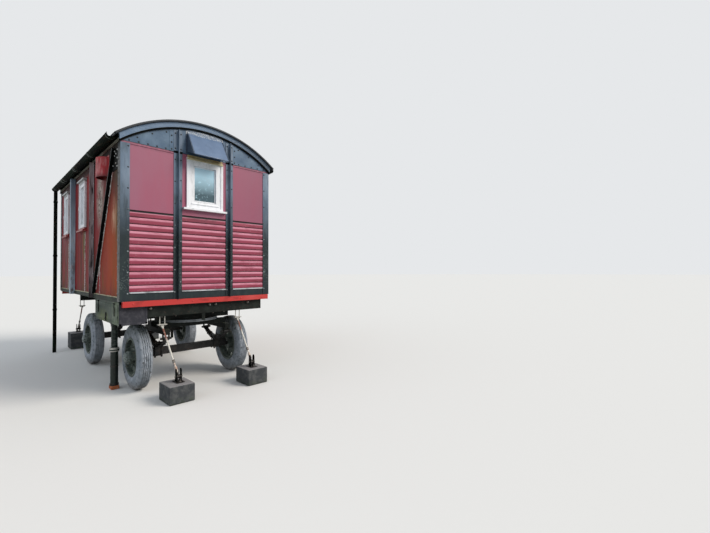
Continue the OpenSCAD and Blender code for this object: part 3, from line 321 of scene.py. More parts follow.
# The finishes, one for each real one: the nodes that wear it, its base colour (a hex value or
# the name of one of the panel's), its roughness, the colours laid over it, each with its mask,
# and its relief as mask, depth in mm and strength. Where dull is given, it grows rougher there.
FINISHES = {
    # Satin coach paint on flat board. The sun has chalked it to an even dusty rose.
    "faded_panel_paint": dict(nodes="end_panels", colour="panel", roughness=0.4, layers=(
        ("#9C6076", patches(0.5, 0.42, 0.62, (1, 1, 5)) * 0.8),
        ("#A84E68", patches(0.3, 0.50, 0.70, (1, 1, 6)) * 0.7),
        # painted shade: the panels darken smoothly towards +X
        ("#864860", along("X", 0.2, 1.0) * 0.5),
        # dirt and painted shade hang under the gable's foot
        ("#4A2C3A", along("Z", GABLE_Z - 0.07, GABLE_Z) * patches(0.05, 0.35, 0.6) * 0.6)),
        relief=(grain(0.004, 0.15, 0.25),), dull=patches(0.12, 0.4, 0.7)),
    # Gloss paint brushed on softwood. Each board's lower face is darkened by painted shade and its
    # cove lit by a painted pink highlight; a painted black line of shade and dirt runs under each
    # lap.
    "board_paint": dict(nodes="end_boards", colour="boards", roughness=0.36, layers=(
        ("#7A2438", patches(0.10, 0.48, 0.70, (4, 4, 0.5))),
        ("#AE4A60", patches(0.16, 0.50, 0.74, (3, 3, 0.4)) * 0.6),
        # painted shade on each board's lower face
        ("#6E2236", course(BOARDS_Z, COURSE, 0.30, 0.04) * 0.7),
        # a painted pink highlight along each board's cove
        ("#DC93A8", course(BOARDS_Z, COURSE, 0.50, 0.64) * course(BOARDS_Z, COURSE, 0.96, 0.90)
            * patches(0.05, 0.16, 0.50, (5, 5, 1))),
        # a painted black line of shade and dirt under each lap
        ("#1C080F", course(BOARDS_Z, COURSE, 0.90, 0.95)),
        ("#D6B4BA", patches(0.012, 0.62, 0.72) * patches(0.5, 0.50, 0.62)),
        # rain stains and painted shade under the end window's sill, and a painted black shadow line
        # under the plain panels
        ("#4A2A30", spot((0, -HALF_L, BOARDS_TOP + 0.03), (0.42, 0.3, 0.17))
            * patches(0.05, 0.2, 0.6, (1, 1, 3)) * 0.75),
        ("#12070A", along("Z", BOARDS_TOP - 0.034, BOARDS_TOP - 0.028))),
        relief=(grain(0.006, 0.35, 0.35, (8, 8, 1)),),
        dull=patches(0.08, 0.4, 0.7, (3, 3, 1))),
    # Gloss paint on buckled steel sheet. It has browned, streaked and gone green under the sill.
    "old_red_sheet": dict(nodes="left_panels right_panels", colour="sheet", roughness=0.6,
        shine=0.1, layers=(
        ("#8E2A30", patches(0.20, 0.42, 0.66, (1, 1, 6))),
        ("#3C1412", patches(0.12, 0.50, 0.72, (1, 1, 8))),
        # the rear bay is mottled grey by a painted sky reflection, and the middle one browned
        # towards its foot
        ("#7C6E70", along("Y", 0.9, 1.3) * patches(0.07, 0.44, 0.64, (1, 1, 5)) * 0.55),
        ("#5C4420", along("Z", SILL_Z + 1.1, SILL_Z + 0.2)
            * patches(0.13, 0.46, 0.66, (1, 1, 5)) * 0.9),
        # the first bay has faded to orange brown, greener towards its corner
        ("#AA440E", FIRST_BAY * (along("Z", EAVE_Z - 0.4, SILL_Z + 0.9)
            * patches(0.30, 0.26, 0.50, (1, 1, 5)))),
        ("#5E4616", along("Y", -HALF_L + 0.42, -HALF_L + 0.12)
            * patches(0.10, 0.34, 0.58, (1, 1, 6))),
        # painted shade darkens the first bay's upper part, behind the brace
        ("#2C2A1C", along("Z", EAVE_Z - 0.95, EAVE_Z - 0.45) * FIRST_BAY * 0.85),
        # a pale, mottled painted highlight near the first bay's front corner
        ("#D2A888", spot((-HALF_W, -HALF_L + 0.32, EAVE_Z - 1.0), (0.3, 0.16, 0.32))
            * patches(0.04, 0.42, 0.56, (1, 1, 6))),
        # a pale, speckled painted reflection under the cowl
        ("#C2B7AC", UNDER_COWL * patches(0.06, 0.30, 0.50, (1, 1, 3))),
        ("#4A3630", UNDER_COWL * patches(0.03, 0.48, 0.56)),
        # algae below the nearer window
        ("#54581E", spot((-HALF_W, -0.06, 2.27), (0.3, 0.16, 0.42))
            * patches(0.08, 0.24, 0.48, (1, 1, 4))),
        ("#2A201A", along("Z", SILL_Z + 0.22, SILL_Z + 0.04) * patches(0.05, 0.35, 0.6) * 0.7),
        # painted shade under the eaves, along the sheets' top
        ("#17130F", along("Z", EAVE_Z - 0.20, EAVE_Z - 0.09) * 0.9),
        # bare zinc primer shows in a line along the sheets' foot
        ("#C6C2A4", band("Z", SILL_Z + 0.065, SILL_Z + 0.077) * patches(0.08, 0.30, 0.50))),
        relief=((patches(0.55, 0.2, 0.8), 14, 0.5), grain(0.005, 0.2, 0.25))),
    # The cover strips' paint, chalked to a pale grey, with rust round their rivets.
    "worn_strip_grey": dict(nodes="cover_strips", colour="#D2CEC8", roughness=0.6, shine=0.25,
        layers=(
        ("#8C6A60", patches(0.05, 0.50, 0.62, (1, 1, 2))),
        ("#4A3A32", patches(0.025, 0.54, 0.64)),
        ("#82302E", patches(0.30, 0.52, 0.60, (1, 1, 2)) * 0.7))),
    # Gloss enamel brushed on timber, with a faint orange peel and a few knocks.
    "signal_red_gloss": dict(nodes="painted_strips door_leaf", colour="signal", roughness=0.3,
        layers=(
        ("#CC4A46", patches(0.18, 0.52, 0.74, (3, 1, 1))),
        ("#8E2420", patches(0.07, 0.56, 0.74, (3, 1, 1)))),
        relief=(grain(0.005, 0.2, 0.3),)),
    # The same red, older, gone matt on the folded sheet of the cowl.
    "cowl_red": dict(nodes="vent_cowl", colour="#AE222A", roughness=0.42, shine=0.35, layers=(
        ("#D08C8C", patches(0.05, 0.50, 0.66, (1, 1, 4)) * 0.7),
        ("#7E141A", patches(0.07, 0.54, 0.72, (1, 1, 3))),
        # painted shade darkens the cowl towards its foot
        ("#4E1014", along("Z", COWL_FOOT + 0.06, COWL_FOOT) * 0.8)),
        relief=(grain(0.09, 2, 0.4),)),
    # White oil paint on joinery. Soft, slightly blue, flecked with grey dust. Painted shade, with
    # grime, greys the tops of the end windows under their hoods.
    "white_gloss": dict(nodes="end_window_frames end_window_sashes side_window_sashes door_frame",
        colour="white", roughness=0.34, layers=(
        ("#C2C8C8", patches(0.06, 0.55, 0.75, (1, 1, 3)) * 0.6),
        ("#9A9C92", patches(0.012, 0.66, 0.74) * 0.5),
        # painted shade, with grime, under the hoods
        ("#A8B4A4", along("Z", GABLE_Z - 0.16, GABLE_Z - 0.04)
            * patches(0.05, 0.30, 0.6) * 0.6)),
        relief=(grain(0.004, 0.2, 0.25, (1, 1, 6)),)),
    # White oil paint on the side frames, greyed on the head boards, with sills picked out in red.
    "side_frame_paint": dict(nodes="side_window_frames", colour="white", roughness=0.4, layers=(
        ("#B8BEBE", patches(0.06, 0.50, 0.72, (1, 1, 3)) * 0.7),
        ("#9A9C9A", along("Z", SASH_HIGH, SASH_HIGH + MM) * 0.8),
        ("#8E2C2C", along("Z", SASH_LOW, SASH_LOW - MM))),
        relief=(grain(0.005, 0.25, 0.3),)),
    # The same white on the drip strips, greyed by splashes.
    "strip_white": dict(nodes="drip_strips", colour="#C4C8CE", roughness=0.42, layers=(
        ("#7E8488", patches(0.07, 0.50, 0.70, (2, 2, 1))),)),
    # Black gloss on rolled iron, painted pale blue-grey high up as a reflection of the sky and
    # darkening to black towards its foot, with algae and dust there; its flank is painted in shade.
    "black_iron_paint": dict(nodes="corner_angles end_tee_irons end_rails", colour="iron",
        roughness=0.34, shine=0.32, layers=(
        # painted sky reflection: pale blue-grey patches
        ("#8696A8", patches(0.16, 0.44, 0.68, (1, 1, 5)) * 0.9),
        ("#2E3A42", patches(0.05, 0.56, 0.70, (1, 1, 8)) * 0.6),
        # towards the foot the painted sky reflection gives way to dark
        ("#101E20", along("Z", GABLE_Z - 0.45, SILL_Z + 0.9) * 0.96),
        ("#2C3A38", patches(0.10, 0.52, 0.72, (1, 1, 3)) * 0.6),
        # painted shade on the flank that faces the side
        ("#0B120F", along("X", FLANK + 3 * MM, FLANK + MM) * 0.85),
        ("#84928E", along("Z", SILL_Z + 1.5, SILL_Z + 0.5) * along("Z", SILL_Z + 0.12, SILL_Z + 0.2)
            * specks(0.016, 0.36) * patches(0.2, 0.40, 0.56) * 0.8)),
        relief=(grain(0.008, 0.4, 0.4),), dull=patches(0.05, 0.40, 0.66)),
    # The side irons' paint has gone to a dusty mauve grey, black along its edges.
    "side_tee_paint": dict(nodes="side_tee_irons", colour="#ACA0A2", roughness=0.55, shine=0.25,
        layers=(
        ("#7A6C6E", patches(0.06, 0.44, 0.62, (1, 1, 8))),
        ("#2A2426", patches(0.04, 0.54, 0.66, (1, 1, 6))),
        ("#1A1819", along("Y", TEE_Y - TEE_EDGE, TEE_Y - TEE_EDGE - MM)),
        ("#1A1819", along("Y", TEE_Y + TEE_EDGE, TEE_Y + TEE_EDGE + MM)),
        # the fin's front edge is painted light, a highlight as well as wear
        ("#9A9AA0", band("X", -SIDE_TEE_X - MM, -SIDE_TEE_X + 4 * MM)
            * patches(0.06, 0.30, 0.5) * 0.8),
        ("#1E1C1C", along("Z", SILL_Z + 0.35, SILL_Z + 0.05) * 0.8))),
    # Thick tar-like black on the braces, darker than the other irons. The fin's edge is painted
    # light, a highlight as well as wear.
    "brace_black": dict(nodes="side_braces", colour="#040505", roughness=0.65, shine=0.05,
        layers=(
        ("#0C120F", patches(0.10, 0.46, 0.68, (1, 1, 3))),
        ("#5B5F58", patches(0.02, 0.68, 0.78) * 0.4),
        # the fin's front edge is painted light, a highlight as well as wear
        ("#8A9090", band("X", -BRACE_X - MM, -BRACE_X + 4 * MM)
            * patches(0.06, 0.30, 0.5) * 0.8)),
        relief=(grain(0.008, 0.4, 0.4),)),
    # Blue-grey weathered paint of the box posts, chalky and rough, with painted shade by the eaves.
    "post_grey": dict(nodes="side_posts", colour="#C2D8E6", roughness=0.55, shine=0.3, layers=(
        ("#98AEBE", patches(0.12, 0.44, 0.64, (1, 1, 6))),
        ("#C8CED4", patches(0.05, 0.58, 0.74, (1, 1, 5))),
        # painted shade darkens the posts towards the eaves
        ("#66788A", along("Z", EAVE_Z - 1.1, EAVE_Z - 0.4) * 0.85),
        ("#5A4238", along("Z", SILL_Z + 1.2, SILL_Z) * patches(0.05, 0.50, 0.64, (1, 1, 3)) * 0.9)),
        relief=(grain(0.006, 0.4, 0.4, (1, 1, 4)),)),
    # Black gloss on thin gable sheet, painted an even hazy blue as a sky reflection, with a dark
    # lap at its foot.
    "black_sheet_gloss": dict(nodes="gable_sheets", colour="#48627C", roughness=0.24, layers=(
        ("#6A8298", patches(0.30, 0.40, 0.68)),
        ("#2C4458", patches(0.24, 0.54, 0.78) * 0.7),
        ("#3E6266", patches(0.12, 0.58, 0.76) * 0.4),
        ("#10181E", along("Z", GABLE_Z + 9 * MM, GABLE_Z + 7 * MM))),
        relief=((patches(0.16, 0.25, 0.75), 3, 0.4),)),
    # Blue-grey enamel on the folded hoods, smooth, chipped pale along the top edge.
    "hood_enamel": dict(nodes="window_hoods", colour="#5E7492", roughness=0.28, layers=(
        ("#6E84A2", patches(0.24, 0.42, 0.70)),
        ("#4A5E78", patches(0.14, 0.56, 0.78) * 0.7),
        # painted shade on the hoods' side cheeks
        ("#2C3640", along("X", -HOOD_TOP.x + 22 * MM, -HOOD_TOP.x + 16 * MM) * 0.75),
        ("#2C3640", along("X", HOOD_TOP.x - 22 * MM, HOOD_TOP.x - 16 * MM) * 0.75),
        ("#B8C0C8", HOOD_HEAD * patches(0.014, 0.44, 0.54)),
        ("#39444C", HOOD_HEAD * patches(0.010, 0.58, 0.64))),
        relief=(grain(0.2, 2, 0.3),)),
    # Ochre oil paint on the timber head under each hood, grimy at its edges.
    "ochre_head": dict(nodes="window_heads", colour="#BFB48C", roughness=0.5, layers=(
        ("#9A7C44", patches(0.04, 0.46, 0.66, (6, 1, 1))),
        ("#4A4030", patches(0.02, 0.58, 0.70, (3, 1, 1)) * 0.7))),
    # Tarred roof sheet, dull and gritty, with lapped seams and pale dust where water stands.
    "roof_sheet": dict(nodes="roof_shell", colour="#20262C", roughness=0.6, layers=(
        ("#3A4046", patches(0.30, 0.42, 0.66, (1, 2, 1))),
        ("#54585A", upwards(0.6, 1.0) * patches(0.10, 0.52, 0.72) * 0.8),
        *(("#15191D", lap * 0.7) for lap in SEAMS)),
        relief=(*((lap, 3, 0.8) for lap in SEAMS), grain(0.012, 1.2, 0.5))),
    # Glossy dark paint on the arch bands, painted pale blue-grey as a reflection of the sky, with
    # painted shade darkening them towards the right-hand eaves and a painted black shadow line
    # along their foot.
    "arch_grey": dict(nodes="end_arches", colour="#6E87A2", roughness=0.3, layers=(
        ("#8AA0B8", patches(0.10, 0.42, 0.66, (3, 1, 1)) * 0.7),
        ("#44566A", patches(0.05, 0.58, 0.74, (3, 1, 1))),
        # painted shade towards the right-hand eaves
        ("#36444E", along("X", 0.1, 1.1) * 0.7),
        # a painted black shadow line along the band's foot
        ("#0A0F14", arc(BAND_R + 0.029, BAND_R + 0.024))),
        relief=(grain(0.01, 0.5, 0.4),)),
    # Dark green old paint on the eaves boards, mossy, over a pale worn trim at their foot.
    "mossy_eave": dict(nodes="eave_boards", colour="#0A0E0A", roughness=0.8, shine=0.04, layers=(
        ("#30342A", patches(0.07, 0.50, 0.68, (1, 5, 1))),
        ("#6A6458", patches(0.02, 0.64, 0.76, (1, 8, 1)) * 0.6),
        ("#A8A89C", along("Z", EAVE_FOOT + 11 * MM, EAVE_FOOT + 9 * MM)
            * patches(0.05, 0.25, 0.5, (1, 5, 1)))),
        relief=(grain(0.006, 0.6, 0.5, (1, 8, 1)),)),
    # Extruded black gutter plastic, sun-dulled, streaked with algae and brown dirt.
    "weathered_gutter": dict(nodes="gutters gutter_brackets downpipes", colour="#070B09",
        roughness=0.8, shine=0.04, layers=(
        ("#142018", patches(0.14, 0.48, 0.68, (1, 5, 1))),
        ("#4E4034", patches(0.04, 0.54, 0.70, (1, 6, 1)) * 0.6)),
        relief=(grain(0.008, 0.3, 0.3),)),
    # Old green-grey paint on rolled steel, under dust, with rust where it has chipped.
    "underframe_paint": dict(nodes="chassis_rails headstocks bolsters front_bogie rear_bogie",
        colour="#101512", roughness=0.65, shine=0.18, layers=(
        ("#222824", patches(0.12, 0.42, 0.66)),
        ("#5C6054", upwards(0.3, 1.0) * 0.6),
        ("#42302A", patches(0.03, 0.60, 0.72) * 0.8),
        ("#70746C", patches(0.015, 0.68, 0.76) * 0.5)),
        relief=(grain(0.006, 0.5, 0.45),)),
    # Green-grey gloss on the bottom rails, splashed, with a paler top edge.
    "side_rail_paint": dict(nodes="side_rails", colour="#101C14", roughness=0.55, shine=0.12,
        layers=(
        ("#263A2C", patches(0.10, 0.44, 0.66, (1, 4, 1))),
        ("#8C8E76", upwards(0.3, 1.0) * 0.7),
        ("#54382A", patches(0.025, 0.64, 0.74) * 0.7)),
        relief=(grain(0.006, 0.5, 0.45),)),
    # Thin green-grey paint on the locker's sheet, dusty, with rain marks and algae. Its front face
    # is darker, with a purple cast.
    "locker_paint": dict(nodes="side_locker", colour="#3E4A42", roughness=0.6, shine=0.2, layers=(
        ("#525C50", patches(0.10, 0.46, 0.68, (1, 1, 3))),
        ("#32382E", patches(0.12, 0.52, 0.72) * 0.7),
        ("#6A7440", spot((LOCKER.x, -1.5, 1.10), (0.3, 0.42, 0.16))
            * patches(0.05, 0.30, 0.54) * 0.7),
        ("#7E8A72", along("Y", LOCKER.y + 0.42, LOCKER.y + 0.22)
            * patches(0.04, 0.36, 0.58, (1, 1, 2)) * 0.8),
        ("#34353C", LOCKER_FRONT),
        ("#4A4A50", LOCKER_FRONT * patches(0.06, 0.46, 0.66))),
        relief=(grain(0.2, 3, 0.3),)),
    # Forged and greased spring iron, black with pale specks of dust and painted highlight, and
    # brown rust.
    "spring_iron": dict(nodes="springs axles", colour="#111212", roughness=0.55, shine=0.3,
        layers=(
        ("#2A2827", patches(0.05, 0.44, 0.64)),
        ("#3E2C22", patches(0.03, 0.58, 0.70) * 0.8),
        ("#76746E", patches(0.012, 0.68, 0.76) * 0.6)),
        relief=(grain(0.005, 0.8, 0.5),)),
    # Rolled turntable rings, their pale grey partly a painted highlight, partly wear where they
    # rub.
    "ring_iron": dict(nodes="turntable_rings", colour="#747A7E", roughness=0.45, metallic=0.2,
        layers=(
        ("#A2A6A8", patches(0.05, 0.50, 0.68, (4, 4, 1))),
        ("#3E342E", patches(0.04, 0.58, 0.72)))),
    # Dull green-grey paint on pressed steel, dusty, with rust round the nuts. Pale flecks are dust
    # and painted highlights; the hubs' outer ends carry painted highlights and dark marks over bare
    # worn metal.
    "wheel_paint": dict(nodes=" ".join("wheel_" + w for w in WHEELS),
        colour="#4A544E", roughness=0.5, shine=0.4, layers=(
        ("#727C74", patches(0.06, 0.44, 0.66)),
        ("#6E5A40", patches(0.03, 0.58, 0.70) * 0.6),
        ("#1C201F", patches(0.05, 0.58, 0.70) * 0.7),
        # pale flecks: dust and painted highlights
        ("#A8B0AE", patches(0.02, 0.64, 0.72) * 0.7),
        # painted highlights and dark marks over bare worn metal on the hubs' outer ends
        *((shade, hub_face(wheel) * worn) for wheel in WHEELS for shade, worn in (
            ("#9AA2A0", patches(0.03, 0.40, 0.52)), ("#141818", patches(0.025, 0.56, 0.62))))),
        relief=(grain(0.006, 0.6, 0.5),)),
    # Aged tyre rubber, perished to grey and powdered with pale ground dust.
    "dusty_rubber": dict(nodes=" ".join("tyre_" + w for w in WHEELS),
        colour="#929AA2", roughness=0.85, shine=0.25, layers=(
        ("#B0B6BE", patches(0.10, 0.42, 0.66)),
        ("#5C6064", patches(0.04, 0.54, 0.72)),
        ("#948C7A", patches(0.02, 0.60, 0.74) * 0.6),
        ("#4C544C", along("Z", 0.70, 0.94) * patches(0.08, 0.36, 0.6) * 0.8),
        ("#857866", along("Z", 0.16, 0.0) * 0.6)),
        relief=(grain(0.004, 0.5, 0.5),)),
    # Cast concrete blocks painted charcoal, open-pored, with a pale top that is dust and painted
    # light.
    "charcoal_block": dict(nodes="ground_blocks", colour="#414447", roughness=0.85, shine=0.3,
        layers=(
        ("#5A5C5C", patches(0.07, 0.44, 0.66)),
        # a pale top: dust and painted light
        ("#929090", upwards(0.6, 1.0) * 0.8),
        ("#1F2020", specks(0.016, 0.22)),
        ("#3E4A36", along("Z", 0.10, 0.0) * patches(0.04, 0.4, 0.6) * 0.7)),
        relief=(grain(0.005, 1.2, 0.6),)),
    # Fired brick, sandy faced, orange red.
    "red_brick": dict(nodes="prop_pad", colour="#B4643C", roughness=0.9, layers=(
        ("#C08060", patches(0.02, 0.46, 0.66)),
        ("#6E3A28", patches(0.05, 0.58, 0.74))),
        relief=(grain(0.003, 0.8, 0.6),)),
    # Hot-dip zinc on the tie rods, dull spangle, rusting at their ends. Their lugs are black.
    "galvanised_steel": dict(nodes="tie_rods", colour="#C8C6BE", roughness=0.42, metallic=0.3,
        layers=(
        ("#A4A29A", patches(0.012, 0.46, 0.62)),
        ("#8A5A3C", along("Z", 0.56, 0.40) * patches(0.05, 0.40, 0.58)),
        ("#74483A", along("Z", 0.78, 0.84) * along("Z", 0.965, 0.95)
            * patches(0.05, 0.26, 0.42)),
        ("#241F1D", along("Y", 0.1, -0.1) * along("Z", 0.385, 0.365)),
        ("#241F1D", along("Y", -0.1, 0.1) * along("Z", 0.505, 0.485)),
        ("#8A8782", specks(0.02, 0.3) * 0.35))),
    # Bottle-green gloss on the screw prop's tube, its bare thread grey with grease and dust.
    "prop_green": dict(nodes="prop", colour="#101A15", roughness=0.4, shine=0.35, layers=(
        ("#22302A", patches(0.08, 0.46, 0.68, (1, 1, 4))),
        ("#7A7C74", patches(0.012, 0.66, 0.76) * 0.6),
        ("#4A5450", along("Z", 0.60, 0.61) * patches(0.02, 0.46, 0.58, (3, 3, 1))))),
    # Planed softwood of the floor and framing, straw coloured with darker grain.
    "bare_timber": dict(nodes="floor_deck floor_bearers", colour="#A4865E", roughness=0.65,
        layers=(
        ("#7C6040", patches(0.02, 0.46, 0.64, (1, 12, 1))),
        ("#BEA47C", patches(0.05, 0.56, 0.74, (1, 8, 1)))),
        relief=(grain(0.004, 0.3, 0.4, (1, 12, 1)),)),
    # Cream lining boards inside, with a faint brush grain.
    "pale_lining": dict(nodes="left_wall right_wall front_wall rear_wall",
        colour="#CFC8B4", roughness=0.55, layers=(
        ("#B8B09A", patches(0.03, 0.50, 0.70, (1, 1, 8))),)),
    # Float glass, lightly dusty, painted with a reflection of pale sky above and dark trees and
    # shade below. The side panes are veiled white.
    "window_pane": dict(nodes="window_glass", colour="#BCE4F6", roughness=0.06, layers=(
        ("#C4E2F2", patches(0.22, 0.44, 0.68, (1, 1, 1.6))),
        # painted reflection of dark trees, and shade, on the lower part of the panes
        ("#3A525A", along("Z", GABLE_Z - 0.30, GABLE_Z - 0.58)
            * patches(0.05, 0.26, 0.44) * 0.95),
        ("#EEF2F4", along("X", -HALF_W + 0.03, -HALF_W + 0.02) * along("Z", 2.0, 2.01)))),
    # Zinc-plated bolt heads and nuts, dulled and spotted with rust.
    "bolt_steel": dict(nodes="", colour="#6E6C68", roughness=0.5, metallic=0.5, layers=(
        ("#5A3E2C", patches(0.012, 0.50, 0.62)),
        ("#8E8C86", patches(0.006, 0.58, 0.70)))),
    # Rivet heads, black where the paint is kept and powdered with dust lower down.
    "rivet_black": dict(nodes="", colour="#0C1114", roughness=0.4, layers=(
        ("#8E989C", along("Z", GABLE_Z - 0.7, GABLE_Z - 1.3)),)),
    # Rivet heads worn to a light grey.
    "rivet_grey": dict(nodes="", colour="#D6D8D6", roughness=0.5, layers=(
        ("#6E5A50", patches(0.05, 0.50, 0.66) * 0.7),)),
    # The gutter's clips and unions, cleaner and paler than its own dull skin.
    "union_grey": dict(nodes="", colour="#3E4640", roughness=0.6, shine=0.15, layers=(
        ("#2E3430", patches(0.03, 0.50, 0.66)),)),
}
DULL = 0.5


def finish_named(name):
    """A finished material by name, made when it is first asked for."""
    found = bpy.data.materials.get(name)
    if found:
        return found
    recipe = FINISHES[name]
    base = recipe["colour"]
    base = linear(base) if base[0] == "#" else getattr(bpy.context.scene.hut_colours, base)
    paint = Finish(name, base, recipe["roughness"], recipe.get("metallic", 0.0),
        recipe.get("shine", 0.5))
    for shade, mask in recipe["layers"]:
        paint.layer(linear(shade), mask.draw(paint))
    for mask, depth, strength in recipe.get("relief", ()):
        paint.relief(mask.draw(paint), depth * MM, strength)
    if "dull" in recipe:
        paint.gloss(recipe["dull"].draw(paint), DULL)
    return paint.done()


# Modelling, as by hand.

def mm(x, y, z):
    """A point given in millimetres."""
    return Vector((x, y, z)) * MM


def deselect():
    if bpy.context.mode != "OBJECT":
        bpy.ops.object.mode_set(mode="OBJECT")
    bpy.ops.object.select_all(action="DESELECT")


def only(piece):
    """Selects one piece and makes it active."""
    deselect()
    piece.select_set(True)
    bpy.context.view_layer.objects.active = piece


def edit_all(piece):
    """Opens a piece in edit mode with all of it selected."""
    only(piece)
    bpy.ops.object.mode_set(mode="EDIT")
    bpy.ops.mesh.select_all(action="SELECT")


def settle(piece):
    """Turns a piece's faces outwards and leaves edit mode."""
    bpy.ops.mesh.select_all(action="SELECT")
    bpy.ops.mesh.remove_doubles(threshold=0.01 * MM)
    bpy.ops.mesh.normals_make_consistent(inside=False)
    bpy.ops.object.mode_set(mode="OBJECT")
    return piece


def apply_modifier(piece, kind, **settings):
    """Adds a modifier with its settings and applies it."""
    only(piece)
    made = piece.modifiers.new(kind.title(), kind)
    for name, value in settings.items():
        setattr(made, name, value)
    bpy.ops.object.modifier_apply(modifier=made.name)
    return piece


def rounded(piece, width, segments=2):
    """Rounds the sharp edges of a piece."""
    return apply_modifier(piece, "BEVEL", width=width, segments=segments,
        limit_method="ANGLE", angle_limit=math.radians(30))


def bar(low, high, edge=0.0):
    """A box between two corners, its edges rounded."""
    low, high = Vector(low), Vector(high)
    deselect()
    bpy.ops.mesh.primitive_cube_add(size=1, location=(low + high) / 2, scale=high - low)
    bpy.ops.object.transform_apply(location=True, rotation=True, scale=True)
    piece = bpy.context.object
    return rounded(piece, edge) if edge else piece


def bars(edge, *corners):
    """Boxes between pairs of corners, all with the same rounding."""
    return [bar(low, high, edge) for low, high in corners]


def border(low, high, width, edge):
    """Four bars of that width round an upright oblong that spans the two corners."""
    (x0, y0, z0), (x1, y1, z1) = low, high
    return bars(edge, (low, (x1, y1, z0 + width)), ((x0, y0, z1 - width), high),
        (low, (x0 + width, y1, z1)), ((x1 - width, y0, z0), high))


def circle(radius, count, centre=(0, 0), turn=0.0):
    """Points round a circle, the first one turned by that share of a step."""
    angles = (math.tau * (i + turn) / count for i in range(count))
    return [(centre[0] + radius * math.cos(a), centre[1] + radius * math.sin(a)) for a in angles]


def turn_to(direction):
    """The rotation that takes +Z to a direction."""
    return Vector((0, 0, 1)).rotation_difference(Vector(direction)).to_matrix().to_4x4()


def rod(start, end, radius, sides=16, edge=0.0):
    """A round or many-sided rod from start to end."""
    start, end = Vector(start), Vector(end)
    deselect()
    bpy.ops.mesh.primitive_cylinder_add(vertices=sides, radius=radius, depth=(end - start).length)
    piece = bpy.context.object
    piece.data.transform(Matrix.Translation((start + end) / 2) @ turn_to(end - start))
    return rounded(piece, edge) if edge else piece


def outline(points):
    """A closed outline of (x, z) points in the plane y = 0, made from a circle's vertices."""
    deselect()
    bpy.ops.mesh.primitive_circle_add(vertices=len(points), radius=1)
    piece = bpy.context.object
    for vertex, (x, z) in zip(piece.data.vertices, points):
        vertex.co = (x, 0, z)
    return piece


def spun(points, steps):
    """Spins an outline of (radius, along) points round +Z."""
    piece = outline(points)
    edit_all(piece)
    bpy.ops.mesh.spin(steps=steps, angle=math.tau, center=(0, 0, 0), axis=(0, 0, 1))
    return settle(piece)


def turned(points, origin, axis, steps=28):
    """Spins an outline of (radius, along) points round an axis through origin."""
    piece = spun(points, steps)
    piece.data.transform(Matrix.Translation(origin) @ turn_to(axis))
    return piece


def arched(points, reach, centre=(0, 0, ARC_Z), steps=56, over=1):
    """Sweeps an outline of (y, radius) points reach radians each way, over a centre or under it."""
    piece = outline(points)
    piece.data.transform(QUARTER_TURN)
    edit_all(piece)
    bpy.ops.mesh.spin(steps=steps, angle=2 * reach, center=(0, 0, 0), axis=(0, 1, 0))
    bpy.ops.mesh.select_all(action="SELECT")
    bpy.ops.mesh.fill_holes(sides=0)
    settle(piece)
    lean = sum(v.co.x for v in piece.data.vertices)
    back = Matrix.Rotation(-math.copysign(reach, lean) * over, 4, "Y")
    piece.data.transform(Matrix.Translation(centre) @ back)
    return piece


def extruded(points, length):
    """Extrudes an outline of (x, z) points along +Y."""
    piece = outline(points)
    edit_all(piece)
    bpy.ops.mesh.edge_face_add()
    bpy.ops.mesh.extrude_region_move(TRANSFORM_OT_translate={"value": (0, length, 0)})
    return settle(piece)


def half_round(radius, sides=8, start=math.pi):
    """Points of a half circle on the line z = 0, closed by its flat."""
    return [(radius * math.cos(start + math.pi * i / sides),
        radius * math.sin(start + math.pi * i / sides)) for i in range(sides + 1)]


def copies(seed, places):
    """A copy of the seed at each place, the seed itself removed."""
    made = []
    for point, direction in places:
        copy = seed.copy()
        copy.data = seed.data.copy()
        bpy.context.collection.objects.link(copy)
        copy.data.transform(Matrix.Translation(point) @ turn_to(direction))
        made.append(copy)
    bpy.data.objects.remove(seed)
    return made


def joined(pieces):
    """Joins pieces to one."""
    deselect()
    for piece in pieces:
        piece.select_set(True)
    bpy.context.view_layer.objects.active = pieces[0]
    bpy.ops.object.join()
    return bpy.context.object


def image_of(piece, matrix):
    """A copy of a piece turned or mirrored by a matrix, its faces still outwards."""
    copy = piece.copy()
    copy.data = piece.data.copy()
    bpy.context.collection.objects.link(copy)
    copy.data.transform(matrix)
    if matrix.determinant() < 0:
        copy.data.flip_normals()
    return copy


MIRROR_X = Matrix.Diagonal((-1, 1, 1, 1))
MIRROR_Y = Matrix.Diagonal((1, -1, 1, 1))
HALF_TURN = Matrix.Rotation(math.pi, 4, "Z")
QUARTER_TURN = Matrix.Rotation(math.pi / 2, 4, "Z")


def with_images(pieces, *matrices):
    """The pieces and their images by each matrix, as one."""
    piece = joined(pieces)
    return joined([piece] + [image_of(piece, m) for m in matrices])


def keep(piece, name, material, body=HUT, smooth=35):
    """Names a finished piece, paints it and lets it ride on its body."""
    only(piece)
    bpy.ops.object.transform_apply(location=True, rotation=True, scale=True)
    bpy.ops.object.shade_smooth_by_angle(angle=math.radians(smooth))
    piece.name = piece.data.name = name
    piece.data.materials.clear()
    piece.data.materials.append(finish_named(material))
    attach(piece, body)
    return piece


def at(point, direction):
    """A place: where something stands and which way it faces."""
    return Vector(point), Vector(direction)


def facing(points, direction):
    return [at(p, direction) for p in points]


def row(start, end, pitch, direction):
    """Evenly spaced places from start to end, about pitch apart."""
    start, end = Vector(start), Vector(end)
    count = max(1, round((end - start).length / pitch))
    return facing([start.lerp(end, i / count) for i in range(count + 1)], direction)


def wheel_places():
    """The middle of each wheel and the way it faces."""
    sides = {"left": LEFT, "right": RIGHT}
    return [at(sum(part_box("tyre_" + wheel), Vector()) / 2, sides[wheel.split("_")[1]])
        for wheel in WHEELS]


